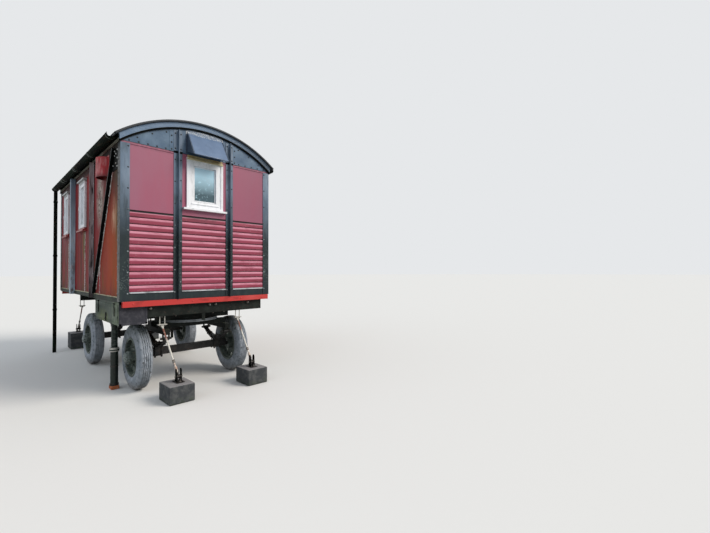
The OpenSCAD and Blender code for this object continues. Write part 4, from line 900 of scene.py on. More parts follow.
def rivet_head(diameter):
    """A domed rivet head standing on z = 0."""
    deselect()
    bpy.ops.mesh.primitive_uv_sphere_add(segments=10, ring_count=6, radius=diameter / 2)
    piece = bpy.context.object
    edit_all(piece)
    bpy.ops.mesh.bisect(plane_co=(0, 0, 0), plane_no=(0, 0, 1), clear_inner=True, use_fill=True)
    bpy.ops.object.mode_set(mode="OBJECT")
    piece.data.transform(Matrix.Diagonal((1, 1, 0.7, 1)))
    return piece


def nut(flats, stud=0.0):
    """A chamfered hexagon nut standing on z = 0, with a stud's end that far above it."""
    deselect()
    height = flats * 0.6
    bpy.ops.mesh.primitive_cylinder_add(vertices=6, radius=flats / math.sqrt(3), depth=height,
        location=(0, 0, height / 2))
    bpy.ops.object.transform_apply(location=True, rotation=True, scale=True)
    pieces = [rounded(bpy.context.object, flats * 0.05, segments=1)]
    if stud:
        pieces.append(rod((0, 0, height * 0.5), (0, 0, height + stud), flats * 0.3, 10,
            edge=flats * 0.05))
    return joined(pieces)


def both_ends(places):
    """Repeats places on the front wall on the rear wall, turned about the upright axis."""
    return places + [(HALF_TURN @ p, HALF_TURN @ f) for p, f in places]


def both_sides(places):
    """Repeats places on the left side on the right side, mirrored."""
    return places + [(MIRROR_X @ p, MIRROR_X @ f) for p, f in places]


def rivets(name, places, material, diameter=None):
    """One piece with a rivet at each place."""
    head = rivet_head(diameter or bpy.context.scene.hut_sizes.rivet)
    return keep(joined(copies(head, places)), name, material, smooth=60)


def nuts(name, places, flats, material, stud=0.0):
    """One piece with a nut at each place."""
    return keep(joined(copies(nut(flats, stud), places)), name, material)


class HUT_OT_stage(bpy.types.Operator):
    """Adds the pale floor, the soft lamps, the pale surround and the camera"""
    bl_idname = "hut.stage"
    bl_label = "Stage"

    CAMERA_AT = Vector((-2.519, -8.023, 1.780))
    YAW, PITCH, ROLL = map(math.radians, (46.376, 0.780, -0.154))
    FOCAL_PX, FRAME_PX, SENSOR = 364.9, 710, 36.0

    def camera(self):
        ahead = Vector((math.sin(self.YAW) * math.cos(self.PITCH),
            math.cos(self.YAW) * math.cos(self.PITCH), math.sin(self.PITCH)))
        level = Vector((math.cos(self.YAW), -math.sin(self.YAW), 0))
        right = level * math.cos(self.ROLL) + level.cross(ahead) * math.sin(self.ROLL)
        up = right.cross(ahead)
        bpy.ops.object.camera_add()
        camera = bpy.context.object
        turn = Matrix((right, up, -ahead)).transposed().to_4x4()
        camera.matrix_world = Matrix.Translation(self.CAMERA_AT) @ turn
        camera.data.sensor_width = self.SENSOR
        camera.data.lens = self.FOCAL_PX / self.FRAME_PX * self.SENSOR
        camera.data.clip_end = 500
        bpy.context.scene.camera = camera

    def seen_directly(self, tree):
        """Full for rays from the camera, mirrors and glass."""
        path = add_node(tree, "ShaderNodeLightPath")
        first = add_node(tree, "ShaderNodeMath", {"operation": "MAXIMUM"},
            {0: path.outputs["Is Camera Ray"], 1: path.outputs["Is Glossy Ray"]})
        return add_node(tree, "ShaderNodeMath", {"operation": "MAXIMUM"},
            {0: first.outputs[0], 1: path.outputs["Is Transmission Ray"]}).outputs[0]

    def floor(self):
        bpy.ops.mesh.primitive_circle_add(vertices=128, radius=220, fill_type="NGON")
        floor = bpy.context.object
        floor.name = "floor"
        material = bpy.data.materials.new("pale_floor")
        material.use_nodes = True
        tree = material.node_tree
        tree.nodes.clear()
        dim = add_node(tree, "ShaderNodeBsdfDiffuse", {"Color": linear("#8C8C88")})
        pale = add_node(tree, "ShaderNodeBsdfDiffuse", {"Color": linear("#E0E0DD")})
        mix = add_node(tree, "ShaderNodeMixShader", None,
            {0: self.seen_directly(tree), 1: dim.outputs[0], 2: pale.outputs[0]})
        add_node(tree, "ShaderNodeOutputMaterial", None, {"Surface": mix.outputs[0]})
        floor.data.materials.append(material)

    def surround(self):
        world = bpy.context.scene.world or bpy.data.worlds.new("surround")
        bpy.context.scene.world = world
        world.use_nodes = True
        tree = world.node_tree
        tree.nodes.clear()
        light = add_node(tree, "ShaderNodeBackground", {
            "Color": linear("#E8EEF6"), "Strength": 0.72})
        seen = add_node(tree, "ShaderNodeBackground", {
            "Color": linear("#E6E8EA"), "Strength": 1.0})
        mix = add_node(tree, "ShaderNodeMixShader", None,
            {0: self.seen_directly(tree), 1: light.outputs[0], 2: seen.outputs[0]})
        add_node(tree, "ShaderNodeOutputWorld", None, {"Surface": mix.outputs[0]})

    def sun(self, name, towards, strength, spread, colour):
        """A soft sun that shines from that direction."""
        bpy.ops.object.light_add(type="SUN")
        lamp = bpy.context.object
        lamp.name = name
        lamp.data.energy = strength
        lamp.data.angle = math.radians(spread)
        lamp.data.color = linear(colour)[:3]
        lamp.rotation_euler = (-Vector(towards)).to_track_quat("-Z", "Y").to_euler()

    def execute(self, context):
        deselect()
        self.camera()
        self.floor()
        self.surround()
        self.sun("key", (0.55, -0.75, 0.72), 2.4, 28, "#FFF6EC")
        self.sun("fill", (-0.8, 0.1, 0.5), 0.3, 60, "#EAF2FF")
        context.scene.view_settings.view_transform = "Standard"
        return {"FINISHED"}


class HUT_OT_finishes(bpy.types.Operator):
    """Gives every part of the frame its own paint, metal, rubber, timber or stone"""
    bl_idname = "hut.finishes"
    bl_label = "Finishes"

    def execute(self, context):
        for finish, recipe in FINISHES.items():
            material = finish_named(finish)
            for name in recipe["nodes"].split():
                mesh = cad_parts[name].data
                mesh.materials.clear()
                mesh.materials.append(material)
        return {"FINISHED"}


class HUT_OT_tyres(bpy.types.Operator):
    """Turns the four lorry tyres with their beads, round shoulders and worn ribs"""
    bl_idname = "hut.tyres"
    bl_label = "Tyres"

    # (radius, along) in mm, from the bead out over the wall to the tread's edge
    WALL = ((275, 72), (275, 74), (294.5, 74), (296, 80), (306, 88), (318, 93), (322, 91.5),
        (326, 91.5), (328, 94), (345, 99), (365, 102), (380, 102.3), (384, 99.5), (390, 99.5),
        (394, 101), (415, 97), (435, 90), (444, 86), (448, 78.5), (456, 77.5), (459, 80),
        (470, 74), (480, 66))
    GROOVES = ((46, 34), (19, 8))
    TREAD_R, TREAD_HALF = 490, 59
    STEPS = 144

    def crown(self, along):
        """The tread's radius, a little lower towards its edges."""
        return self.TREAD_R - 3.5 * (along / self.TREAD_HALF) ** 2

    def profile(self, groove):
        tread = [(self.crown(self.TREAD_HALF), self.TREAD_HALF)]
        for outer, inner in self.GROOVES:
            tread += [(self.crown(outer), outer), (self.crown(outer) - groove, outer - 1),
                (self.crown(inner) - groove, inner + 1), (self.crown(inner), inner)]
        half = list(self.WALL) + tread
        return [(r * MM, a * MM) for r, a in half + [(r, -a) for r, a in reversed(half)]]

    def wear(self, piece):
        """Swings the grooves to and fro and nicks the shoulders, two steps each way."""
        step = math.tau / self.STEPS
        for vertex in piece.data.vertices:
            radius = math.hypot(vertex.co.x, vertex.co.y)
            along = abs(vertex.co.z)
            side = 1 if round(math.atan2(vertex.co.y, vertex.co.x) / step) // 2 % 2 else -1
            if radius > 0.47 and along < 0.047:
                vertex.co.z += side * 2.2 * MM
            elif radius > 0.475 and along > 0.055 and side > 0:
                vertex.co.xy *= (radius - 3.5 * MM) / radius

    def execute(self, context):
        tyre = spun(self.profile(context.scene.hut_sizes.groove / MM), self.STEPS)
        self.wear(tyre)
        for wheel, piece in zip(WHEELS, copies(tyre, wheel_places())):
            keep(piece, "ribbed_tyre_" + wheel, "dusty_rubber", wheel + "_wheel",
                30)
            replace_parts(piece, "tyre_" + wheel)
        return {"FINISHED"}


class HUT_OT_wheel_fittings(bpy.types.Operator):
    """Adds wheel nuts, hub bolts, the lock ring, the grease cap and the valve to each wheel"""
    bl_idname = "hut.wheel_fittings"
    bl_label = "Wheel fittings"

    DISC, HUB_PLATE, CAP, RIM = (n * MM for n in (25, 124.5, 168.5, 86.5))

    def ring_of(self, count, radius, height, turn=0.0):
        return facing([(x, y, height) for x, y in circle(radius, count, turn=turn)], UP)

    def execute(self, context):
        lock = circle(5 * MM, 8, (0.285, self.RIM))
        cap = [(r * MM, self.CAP + a * MM) for r, a in (
            (0, -4), (48, -4), (48, 1), (44, 3), (30, 3), (28, 8), (20, 13), (8, 15), (0, 15))]
        parts = copies(nut(0.030, 0.012), self.ring_of(8, 0.145, self.DISC, 0.5))
        parts += copies(nut(0.014, 0.004), self.ring_of(8, 0.089, self.HUB_PLATE))
        parts.append(spun(lock, 64))
        parts.append(spun(cap, 24))
        parts.append(rod((0.236, 0.030, self.DISC - 4 * MM), (0.262, 0.034, 0.058), 5 * MM, 10,
            edge=MM))
        for wheel, piece in zip(WHEELS, copies(joined(parts), wheel_places())):
            keep(piece, "wheel_nuts_" + wheel, "wheel_paint", wheel + "_wheel")
        return {"FINISHED"}


class HUT_OT_end_rivets(bpy.types.Operator):
    """Adds the rivets, joint plates and trim of the end walls' irons and gable sheets"""
    bl_idname = "hut.end_rivets"
    bl_label = "End rivets"

    def execute(self, context):
        pitch = context.scene.hut_sizes.rivet_pitch
        face = -HALF_L - IRON
        side = -HALF_W - IRON
        low, high = SILL_Z + 0.12, GABLE_Z - 0.06
        inset = 0.02
        # inner edge of each corner angle, on both of its legs
        edge = side + CORNER_W - inset
        legs = []
        for x in (edge, -edge):
            legs += row((x, face, low), (x, face, high), pitch * 1.5, FRONT)
        legs = both_ends(legs)
        y = face + CORNER_W - inset
        flanks = row((side, y, low), (side, y, high), pitch, LEFT)
        flanks += row((side, -y, low), (side, -y, high), pitch, LEFT)
        rivets("corner_rivets", legs + both_sides(flanks), "rivet_black", 0.022)
        # both flanges of each tee, in pairs above the gable line
        flanges = []
        for tee in (-TEE_X, TEE_X):
            for shift, lift in ((-TEE_W / 2 + inset, 0), (TEE_W / 2 - inset, pitch * 0.8)):
                x = tee + shift
                flanges += row((x, face, low + lift), (x, face, high - 0.05),
                    pitch * 1.7, FRONT)
                flanges += facing([(x, face, z) for z in (3.62, 3.845)], FRONT)
        rivets("tee_rivets", both_ends(flanges), "rivet_black", 0.022)
        # along the foot of the gable sheets, up their cover flats and under the arch
        sheet, flat = -HALF_L, -HALF_L - 4 * MM
        flat_x = TEE_X + TEE_W / 2 + 0.031
        gable = []
        for a, b in ((-HALF_W + 0.10, -flat_x - 0.08), (flat_x + 0.08, HALF_W - 0.10)):
            gable += row((a, sheet, GABLE_Z + 0.026), (b, sheet, GABLE_Z + 0.026), 0.13, FRONT)
        for x in (-flat_x, flat_x):
            gable += facing([(x, flat, z) for z in (3.60, 3.70, 3.80)], FRONT)
        for i in range(-5, 6):
            x = i * 0.19
            if abs(abs(x) - TEE_X) > 0.15 and abs(x) > 0.32:
                gable.append(at((x, sheet, arc_top(BAND_R - 0.035, x)), FRONT))
        rivets("gable_rivets", both_ends(gable), "rivet_black", 0.024)
        # fishplates on the tees at the gable's foot
        plates = [bar((tee - TEE_W / 2, face - 5 * MM, GABLE_Z - 0.014),
            (tee + TEE_W / 2, face, GABLE_Z + 0.018), MM) for tee in (-TEE_X, TEE_X)]
        keep(with_images(plates, HALF_TURN), "tee_joints", "brace_black")
        # a half-round bead closes the panels' top
        trim = []
        for a, b in ((-HALF_W + 0.11, -TEE_X - 0.062), (-TEE_X + 0.062, -0.289)):
            bead = extruded([(x * 0.8, z) for x, z in half_round(9 * MM, start=math.pi / 2)], b - a)
            bead.data.transform(Matrix.Translation((b, -HALF_L, GABLE_Z - 0.022)) @ QUARTER_TURN)
            trim.append(bead)
        keep(with_images([with_images(trim, MIRROR_X)], MIRROR_Y), "panel_top_beads",
            "faded_panel_paint")
        return {"FINISHED"}


class HUT_OT_board_nails(bpy.types.Operator):
    """Adds the nails of the shiplap and the bolts of the painted strips"""
    bl_idname = "hut.board_nails"
    bl_label = "Nails and strip bolts"

    NAIL_LINES = (-1.01, -0.51, -0.31, 0.0, 0.31, 0.51, 1.01)
    STRIP_END, STRIP_Z, STRIP_PITCH = 1.0, 1.339, 0.4

    def execute(self, context):
        pitch = (BOARDS_TOP - BOARDS_Z) / BOARD_COUNT
        nails = []
        for x in self.NAIL_LINES:
            for course in range(BOARD_COUNT):
                z = BOARDS_Z + (course + 0.3) * pitch
                nails.append(at((x, -HALF_L, z), FRONT))
        rivets("board_nails", both_ends(nails), "board_paint", 9 * MM)
        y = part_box("painted_strips")[0].y
        bolts = row((-self.STRIP_END, y, self.STRIP_Z), (self.STRIP_END, y, self.STRIP_Z),
            self.STRIP_PITCH, FRONT)
        rivets("strip_bolts", both_ends(bolts), "signal_red_gloss", 0.022)
        return {"FINISHED"}


class HUT_OT_side_rivets(bpy.types.Operator):
    """Adds the rivets of the side irons, the braces with their gussets and the cover strips"""
    bl_idname = "hut.side_rivets"
    bl_label = "Side rivets"

    BRACE_TOP, BRACE_FOOT = mm(0, -2110, 3500), mm(0, -942.7, 1442)
    # (y, z) in mm of the rivets of the gusset at the brace's head
    GUSSET = ((-2230, 3235), (-2230, 3350), (-2230, 3465), (-2160, 3290), (-2160, 3420),
        (-2100, 3465))
    # (y, top) of the cover strips; the middle one has no twin on the right, the door's side
    STRIPS = ((-1.250, 1.925), (-0.170, 2.490), (1.403, 2.490))
    # the stretches of sheet between the irons
    SHEETS = ((-2.20, -0.87), (-0.70, 0.72), (0.86, 2.20))

    def execute(self, context):
        face = -HALF_W - IRON
        pitch = context.scene.hut_sizes.rivet_pitch
        inset = 0.02
        tee = []
        for y, lift in ((TEE_Y - TEE_W / 2 + inset, 0), (TEE_Y + TEE_W / 2 - inset, pitch * 0.8)):
            tee += row((face, y, SILL_Z + 0.1 + lift), (face, y, EAVE_Z - 0.06),
                pitch * 1.6, LEFT)
        rivets("side_tee_rivets", both_sides(tee), "rivet_grey")
        # a riveted flange runs down the brace's front
        run = self.BRACE_FOOT - self.BRACE_TOP
        aside = Vector((0, run.z, -run.y)).normalized()
        flange = bar((-HALF_W - 4 * MM, -44 * MM, -run.length * 0.96), (-HALF_W, 0, 0), MM)
        flange.data.transform(Matrix.Translation(self.BRACE_TOP)
            @ Matrix.Rotation(math.atan2(run.y, -run.z), 4, "X"))
        keep(with_images([flange], MIRROR_X), "brace_flanges", "worn_strip_grey")
        line = self.BRACE_TOP + aside * 0.024 - Vector((HALF_W + 4 * MM, 0, 0))
        brace = row(line + run * 0.04, line + run * 0.92, 0.145, LEFT)
        brace += facing([(face, y * MM, z * MM) for y, z in self.GUSSET], LEFT)
        rivets("brace_rivets", both_sides(brace), "rivet_grey", 24 * MM)
        post_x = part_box("side_posts")[0].x
        post = []
        for shift in (-0.028, 0.028):
            post += row((post_x, POST_Y + shift, SILL_Z + 0.12),
                (post_x, POST_Y + shift, EAVE_Z - 0.08), pitch * 1.9, LEFT)
        rivets("post_rivets", both_sides(post), "rivet_grey")
        strips, sheets = [], []
        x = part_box("cover_strips")[0].x
        for y, top in self.STRIPS:
            places = row((x, y, SILL_Z + 0.11), (x, y, top - 0.05), 0.09, LEFT)
            strips += places if y == self.STRIPS[1][0] else both_sides(places)
        rivets("strip_rivets", strips, "rivet_grey", 18 * MM)
        # the sheets are riveted along their top and foot as well
        for a, b in self.SHEETS:
            for z in (SILL_Z + 0.10, EAVE_Z - 0.04):
                sheets += both_sides(row((-HALF_W, a, z), (-HALF_W, b, z), 0.16, LEFT))
        rivets("sheet_rivets", sheets, "old_red_sheet", 11 * MM)
        return {"FINISHED"}


class HUT_OT_roof_edge(bpy.types.Operator):
    """Adds the roof's nosing, the fine ridges of the arch bands and their heavy foot beads"""
    bl_idname = "hut.roof_edge"
    bl_label = "Roof edge"

    # (along, down) in mm: the nosing's section from the sheet's top round its front to its foot
    NOSING = ((2, 1), (-4, 2), (-7, 9), (-7, 19), (-4, 26), (2, 27))
    # height on the band, half width and depth of each fine ridge, in mm
    RIDGES = ((40, 4, 4), (56, 3, 3), (72, 3, 3), (88, 4, 5))
    FOOT_BEAD = 12 * MM

    def execute(self, context):
        nose = arched([(a * MM - ROOF_HIGH.y, ROOF_R - d * MM) for a, d in self.NOSING],
            math.asin(ROOF_HIGH.x / ROOF_R) - 0.001)
        keep(with_images([nose], MIRROR_Y), "roof_nosing", "roof_sheet")
        face, half_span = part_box("end_arches")[0].y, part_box("end_arches")[1].x
        ridges = []
        for lift, half, depth in self.RIDGES:
            section = ((1, half), (-depth * 0.7, half * 0.6), (-depth, 0),
                (-depth * 0.7, -half * 0.6), (1, -half))
            ridges.append(arched([(face + a * MM, BAND_R + (lift + r) * MM) for a, r in section],
                math.asin(half_span / (ROOF_R - 0.06))))
        keep(with_images(ridges, MIRROR_Y), "arch_ridges", "arch_grey")
        foot = BAND_R + 13 * MM
        bead = arched([(face + 13 * MM + z, foot + x) for x, z in half_round(self.FOOT_BEAD)],
            math.asin(half_span / BAND_R) - 0.002)
        keep(with_images([bead], MIRROR_Y), "arch_foot_beads", "brace_black")
        return {"FINISHED"}


class HUT_OT_windows(bpy.types.Operator):
    """Adds glazing beads, hinges, catches and drip mouldings to the windows"""
    bl_idname = "hut.windows"
    bl_label = "Windows"

    # half the casement's width where it isn't the frame's own, then half the pane's width, its
    # foot and head, and the plane of its glass
    END_PANE = (0.168, 2.872, 3.406, -2.348)
    SIDE_HALF, SIDE_PANE = 0.2047, (0.139, 2.631, 3.299, -1.138)
    SIDE_PITCH, CATCH_Z = 1.5733, 2.95

    def hinge(self, x, y, z):
        """A butt hinge's leaves and knuckle, edge of a casement that faces -Y."""
        return [bar((x - 0.022, y - 2 * MM, z - 0.035), (x + 0.022, y + MM, z + 0.035), MM),
            rod((x, y - 6 * MM, z - 0.036), (x, y - 6 * MM, z + 0.036), 6 * MM, 12, edge=MM)]

    def casement(self, half_width, face, pane):
        """The beads, hinges and drip of one casement that faces -Y."""
        pane_half, low, high, glass_y = pane
        parts = border((-pane_half, glass_y - 10 * MM, low), (pane_half, glass_y, high), 11 * MM,
            3 * MM)
        for z in (low + 0.08, high - 0.08):
            parts += self.hinge(half_width + 4 * MM, face - MM, z)
        drip = extruded(half_round(0.012, 6), half_width * 1.7)
        drip.data.transform(Matrix.Translation((half_width * 0.85, face, low - 0.045))
            @ QUARTER_TURN @ Matrix.Rotation(math.pi / 2, 4, "Y"))
        return parts + [drip]

    def catch(self, x, face, z):
        """A small cockspur fastener."""
        return [bar((x - 0.012, face - 3 * MM, z - 0.035), (x + 0.012, face, z + 0.035), MM),
            rod((x, face, z), (x, face - 0.022, z), 6 * MM, 12, edge=MM),
            bar((x - 0.008, face - 0.026, z - 0.060), (x + 0.008, face - 0.018, z + 0.010), 2 * MM)]

    def execute(self, context):
        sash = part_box("end_window_sashes")
        keep(with_images(self.casement(sash[1].x, sash[0].y, self.END_PANE), HALF_TURN),
            "end_casement_fittings", "white_gloss")
        low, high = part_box("window_heads")
        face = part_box("end_window_frames")[0].y + 34 * MM
        head = bar((low.x - 8 * MM, face - 12 * MM, low.z - 34 * MM),
            (high.x + 8 * MM, face + 2 * MM, low.z - MM), 4 * MM)
        keep(with_images([head], HALF_TURN), "end_head_mouldings", "ochre_head")
        # two windows on the left, and one on the right behind the door's bay
        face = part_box("side_window_sashes")[0].x
        front = Matrix.Rotation(-math.pi / 2, 4, "Z")
        rear = Matrix.Translation((0, self.SIDE_PITCH, 0)) @ front
        places = (front, rear, MIRROR_X @ rear)
        for name, parts in (
                ("fittings", self.casement(self.SIDE_HALF, face, self.SIDE_PANE)),
                ("catches", self.catch(-self.SIDE_HALF + 0.03, face, self.CATCH_Z))):
            seed = joined(parts)
            images = [image_of(seed, place) for place in places]
            bpy.data.objects.remove(seed)
            keep(joined(images), "side_casement_" + name, "white_gloss")
        return {"FINISHED"}


class HUT_OT_hoods(bpy.types.Operator):
    """Adds the wall flange, rolled lip, edge beads and rivets of the two window hoods"""
    bl_idname = "hut.hoods"
    bl_label = "Window hoods"

    def execute(self, context):
        low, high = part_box("window_hoods")
        half = high.x
        lip = Vector((0, low.y, low.z + 6 * MM))
        top = Vector((0, -HALF_L, high.z))
        parts = [rod((-half, lip.y, lip.z), (half, lip.y, lip.z), 9 * MM, 14, edge=2 * MM)]
        # a bead runs up each edge of the sloping sheet
        run = top - (lip + Vector((0, 0, 6 * MM)))
        for x in (-half + 5 * MM, half - 5 * MM):
            start = lip + Vector((x, 0, 5 * MM))
            parts.append(rod(start, start + run, 5 * MM, 10, edge=MM))
        parts.append(bar((-half, -HALF_L - 5 * MM, high.z - 8 * MM),
            (half, -HALF_L, high.z + 26 * MM), 2 * MM))
        for x in (-half - 16 * MM, half):
            parts.append(bar((x, -HALF_L - 4 * MM, low.z + 0.04),
                (x + 16 * MM, -HALF_L, high.z + 26 * MM), MM))
        keep(with_images(parts, HALF_TURN), "hood_beads", "hood_enamel")
        heads = row((-half + 0.03, -HALF_L - 5 * MM, high.z + 0.014),
            (half - 0.03, -HALF_L - 5 * MM, high.z + 0.014), 0.09, FRONT)
        out = Vector((0, -run.z, run.y)).normalized()
        out = out if out.y < 0 else -out
        for x in (-half + 0.022, half - 0.022):
            start = lip + Vector((x, 0, 7 * MM))
            heads += row(start + run * 0.08, start + run * 0.92, 0.09, out)
        rivets("hood_rivets", both_ends(heads), "hood_enamel", 11 * MM)
        return {"FINISHED"}


class HUT_OT_door(bpy.types.Operator):
    """Adds planks, strap hinges, a latch and a threshold to the side door"""
    bl_idname = "hut.door"
    bl_label = "Door"

    PLANKS, GAP, PROUD = 6, 3 * MM, 9 * MM
    HINGES_Z, SCREWS_Y = (1.68, 2.37, 3.06), (0.06, 0.18, 0.30)
    # (along, up): a strap tapers from its knuckle to a round end
    STRAP = ((0.0, -0.028), (0.40, -0.014), (0.43, -0.020), (0.45, 0.0), (0.43, 0.020),
        (0.40, 0.014), (0.0, 0.028))

    def execute(self, context):
        low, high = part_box("door_leaf")
        width = (high.y - low.y) / self.PLANKS
        planks = [bar((high.x - 4 * MM, low.y + i * width + self.GAP / 2, low.z + 4 * MM),
            (high.x + self.PROUD, low.y + (i + 1) * width - self.GAP / 2, high.z - 4 * MM),
            4 * MM) for i in range(self.PLANKS)]
        keep(joined(planks), "door_planks", "signal_red_gloss")
        face = high.x + self.PROUD
        iron, screws = [], []
        for z in self.HINGES_Z:
            strap = extruded(self.STRAP, 5 * MM)
            strap.data.transform(Matrix.Translation((face + 5 * MM, low.y - 4 * MM, z))
                @ QUARTER_TURN)
            iron += [rounded(strap, MM), rod((face + 6 * MM, low.y - 6 * MM, z - 0.034),
                (face + 6 * MM, low.y - 6 * MM, z + 0.034), 9 * MM, 14, edge=2 * MM)]
            screws += facing([(face + 5 * MM, low.y + y, z) for y in self.SCREWS_Y], RIGHT)
        plate_y = high.y - 0.07
        iron.append(bar((face, plate_y - 0.03, 2.26), (face + 4 * MM, plate_y + 0.03, 2.46), MM))
        iron.append(rod((face, plate_y, 2.39), (face + 0.03, plate_y, 2.39), 9 * MM, 14, edge=MM))
        iron.append(turned(circle(5 * MM, 10, (0.036, 0)), (face + 0.026, plate_y, 2.355), RIGHT))
        keep(joined(iron), "door_ironwork", "brace_black")
        rivets("door_screws", screws, "bolt_steel", 12 * MM)
        sill = bar((HALF_W, -0.385, 1.400), (HALF_W + 0.045, 0.385, 1.432), 4 * MM)
        keep(sill, "door_threshold", "strip_white")
        return {"FINISHED"}


class HUT_OT_gutters(bpy.types.Operator):
    """Adds the gutters' rolled lips, straps and unions and the downpipes' collars"""
    bl_idname = "hut.gutters"
    bl_label = "Gutters"

    RADIUS = 0.062
    STRAPS = (-2.240, -1.120, 0.0, 1.120, 2.240)
    UNIONS = (-1.1075, 0.095, 1.2975)
    PIPE_Y, PIPE_RADIUS = 2.440, 0.034
    COLLARS_Z = (0.95, 2.15, 3.35)
    COLLAR = ((33, -20), (38, -20), (40, -16), (40, 16), (38, 20), (33, 20))

    def strap(self, y, width):
        """Half a ring round the gutter's underside."""
        inner, outer = self.RADIUS - 0.5 * MM, self.RADIUS + 2.5 * MM
        return arched([(y - width / 2, inner), (y + width / 2, inner), (y + width / 2, outer),
            (y - width / 2, outer)], math.pi / 2, (self.x, 0, self.z), 16, over=-1)

    def execute(self, context):
        low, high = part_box("gutters")
        self.x = low.x + self.RADIUS
        self.z = high.z
        parts = [self.strap(y, 0.030) for y in self.STRAPS]
        parts += [self.strap(y, 0.070) for y in self.UNIONS]
        for x in (low.x + 4 * MM, low.x + 2 * self.RADIUS - 4 * MM):
            parts.append(rod((x, low.y, self.z), (x, high.y, self.z), 3.5 * MM, 10, edge=MM))
        keep(with_images(parts, MIRROR_X), "gutter_straps", "union_grey")
        pipe = (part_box("downpipes")[0].x + self.PIPE_RADIUS, self.PIPE_Y, 0)
        collars = [turned([(r * MM, z + a * MM) for r, a in self.COLLAR], pipe, UP)
            for z in self.COLLARS_Z]
        keep(with_images(collars, MIRROR_X), "pipe_collars", "weathered_gutter")
        return {"FINISHED"}


class HUT_OT_underframe(bpy.types.Operator):
    """Adds the bolts, nuts and clips of the headstocks, bolsters, springs and shackles"""
    bl_idname = "hut.underframe"
    bl_label = "Underframe fittings"

    AXLES = (-1.730, 0.640)
    SPRING_X = 0.480
    HEADSTOCK_BOLTS, BOLT_Z = (-0.767, 0.088, 0.186, 0.755), 1.262
    # the line of bolts on the front of each axle's bolster, and their height on it
    BOLSTER_BOLTS, BOLSTER_Z = (-0.50, -0.30, 0.30, 0.50), (1.095, 1.080)
    RING_RADIUS, RING_BOLTS = 0.460, 16

    def execute(self, context):
        flats = context.scene.hut_sizes.bolt
        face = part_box("headstocks")[0].y
        washers, heads = [], []
        for x in self.HEADSTOCK_BOLTS:
            middle = Vector((x, face, self.BOLT_Z))
            washers.append(bar(middle - Vector((0.030, 5 * MM, 0.030)),
                middle + Vector((0.030, 0, 0.030)), 1.5 * MM))
            heads.append(at(middle - Vector((0, 5 * MM, 0)), FRONT))
        keep(with_images(washers, HALF_TURN), "headstock_washers", "underframe_paint")
        nuts("headstock_nuts", both_ends(heads), flats, "bolt_steel", 0.012)
        # bolts through the bolsters, the cross members and the rings
        bolts = [at((x, axle - 0.265, z), FRONT) for x in self.BOLSTER_BOLTS
            for axle, z in zip(self.AXLES, self.BOLSTER_Z)]
        bolts += [at((x, axle + shift, 0.829), DOWN) for x in (-0.46, 0.46)
            for axle in self.AXLES for shift in (-0.22, 0.22)]
        nuts("bolster_nuts", bolts, 0.026, "bolt_steel", 0.008)
        ring_bolts = [at((x, self.AXLES[0] + y, 1.0), (x, y, 0))
            for x, y in circle(self.RING_RADIUS, self.RING_BOLTS, turn=0.5)]
        rivets("ring_bolts", ring_bolts, "ring_iron", 0.018)
        self.springs()
        return {"FINISHED"}

    def springs(self):
        springs = [(x, axle) for axle in self.AXLES for x in (-self.SPRING_X, self.SPRING_X)]
        places = [at((x + sx, axle + sy, 0.458), DOWN) for x, axle in springs
            for sx in (-0.048, 0.048) for sy in (-0.054, 0.054)]
        pins = [at((x + out * 0.0585, axle + sy, 0.771), (out, 0, 0)) for x, axle in springs
            for sy in (-0.380, 0.380) for out in (-1, 1)]
        nuts("spring_clamp_nuts", places, 0.028, "spring_iron", 0.006)
        nuts("shackle_nuts", pins, 0.032, "spring_iron", 0.006)
        # rebound clips hold the leaves together
        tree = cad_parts["springs"]
        clips = []
        for axle in self.AXLES:
            for sy in (-0.235, 0.235):
                y = axle + sy
                hit, top, _, _ = tree.ray_cast((self.SPRING_X, y, 1.2), (0, 0, -1))
                also, foot, _, _ = tree.ray_cast((self.SPRING_X, y, 0.2), (0, 0, 1))
                if not hit or not also:
                    raise RuntimeError("no spring leaves under a clip")
                clips += border((self.SPRING_X - 0.044, y - 0.015, foot.z - 6 * MM),
                    (self.SPRING_X + 0.044, y + 0.015, top.z + 6 * MM), 5 * MM, MM)
        keep(with_images(clips, MIRROR_X), "spring_clips", "spring_iron")


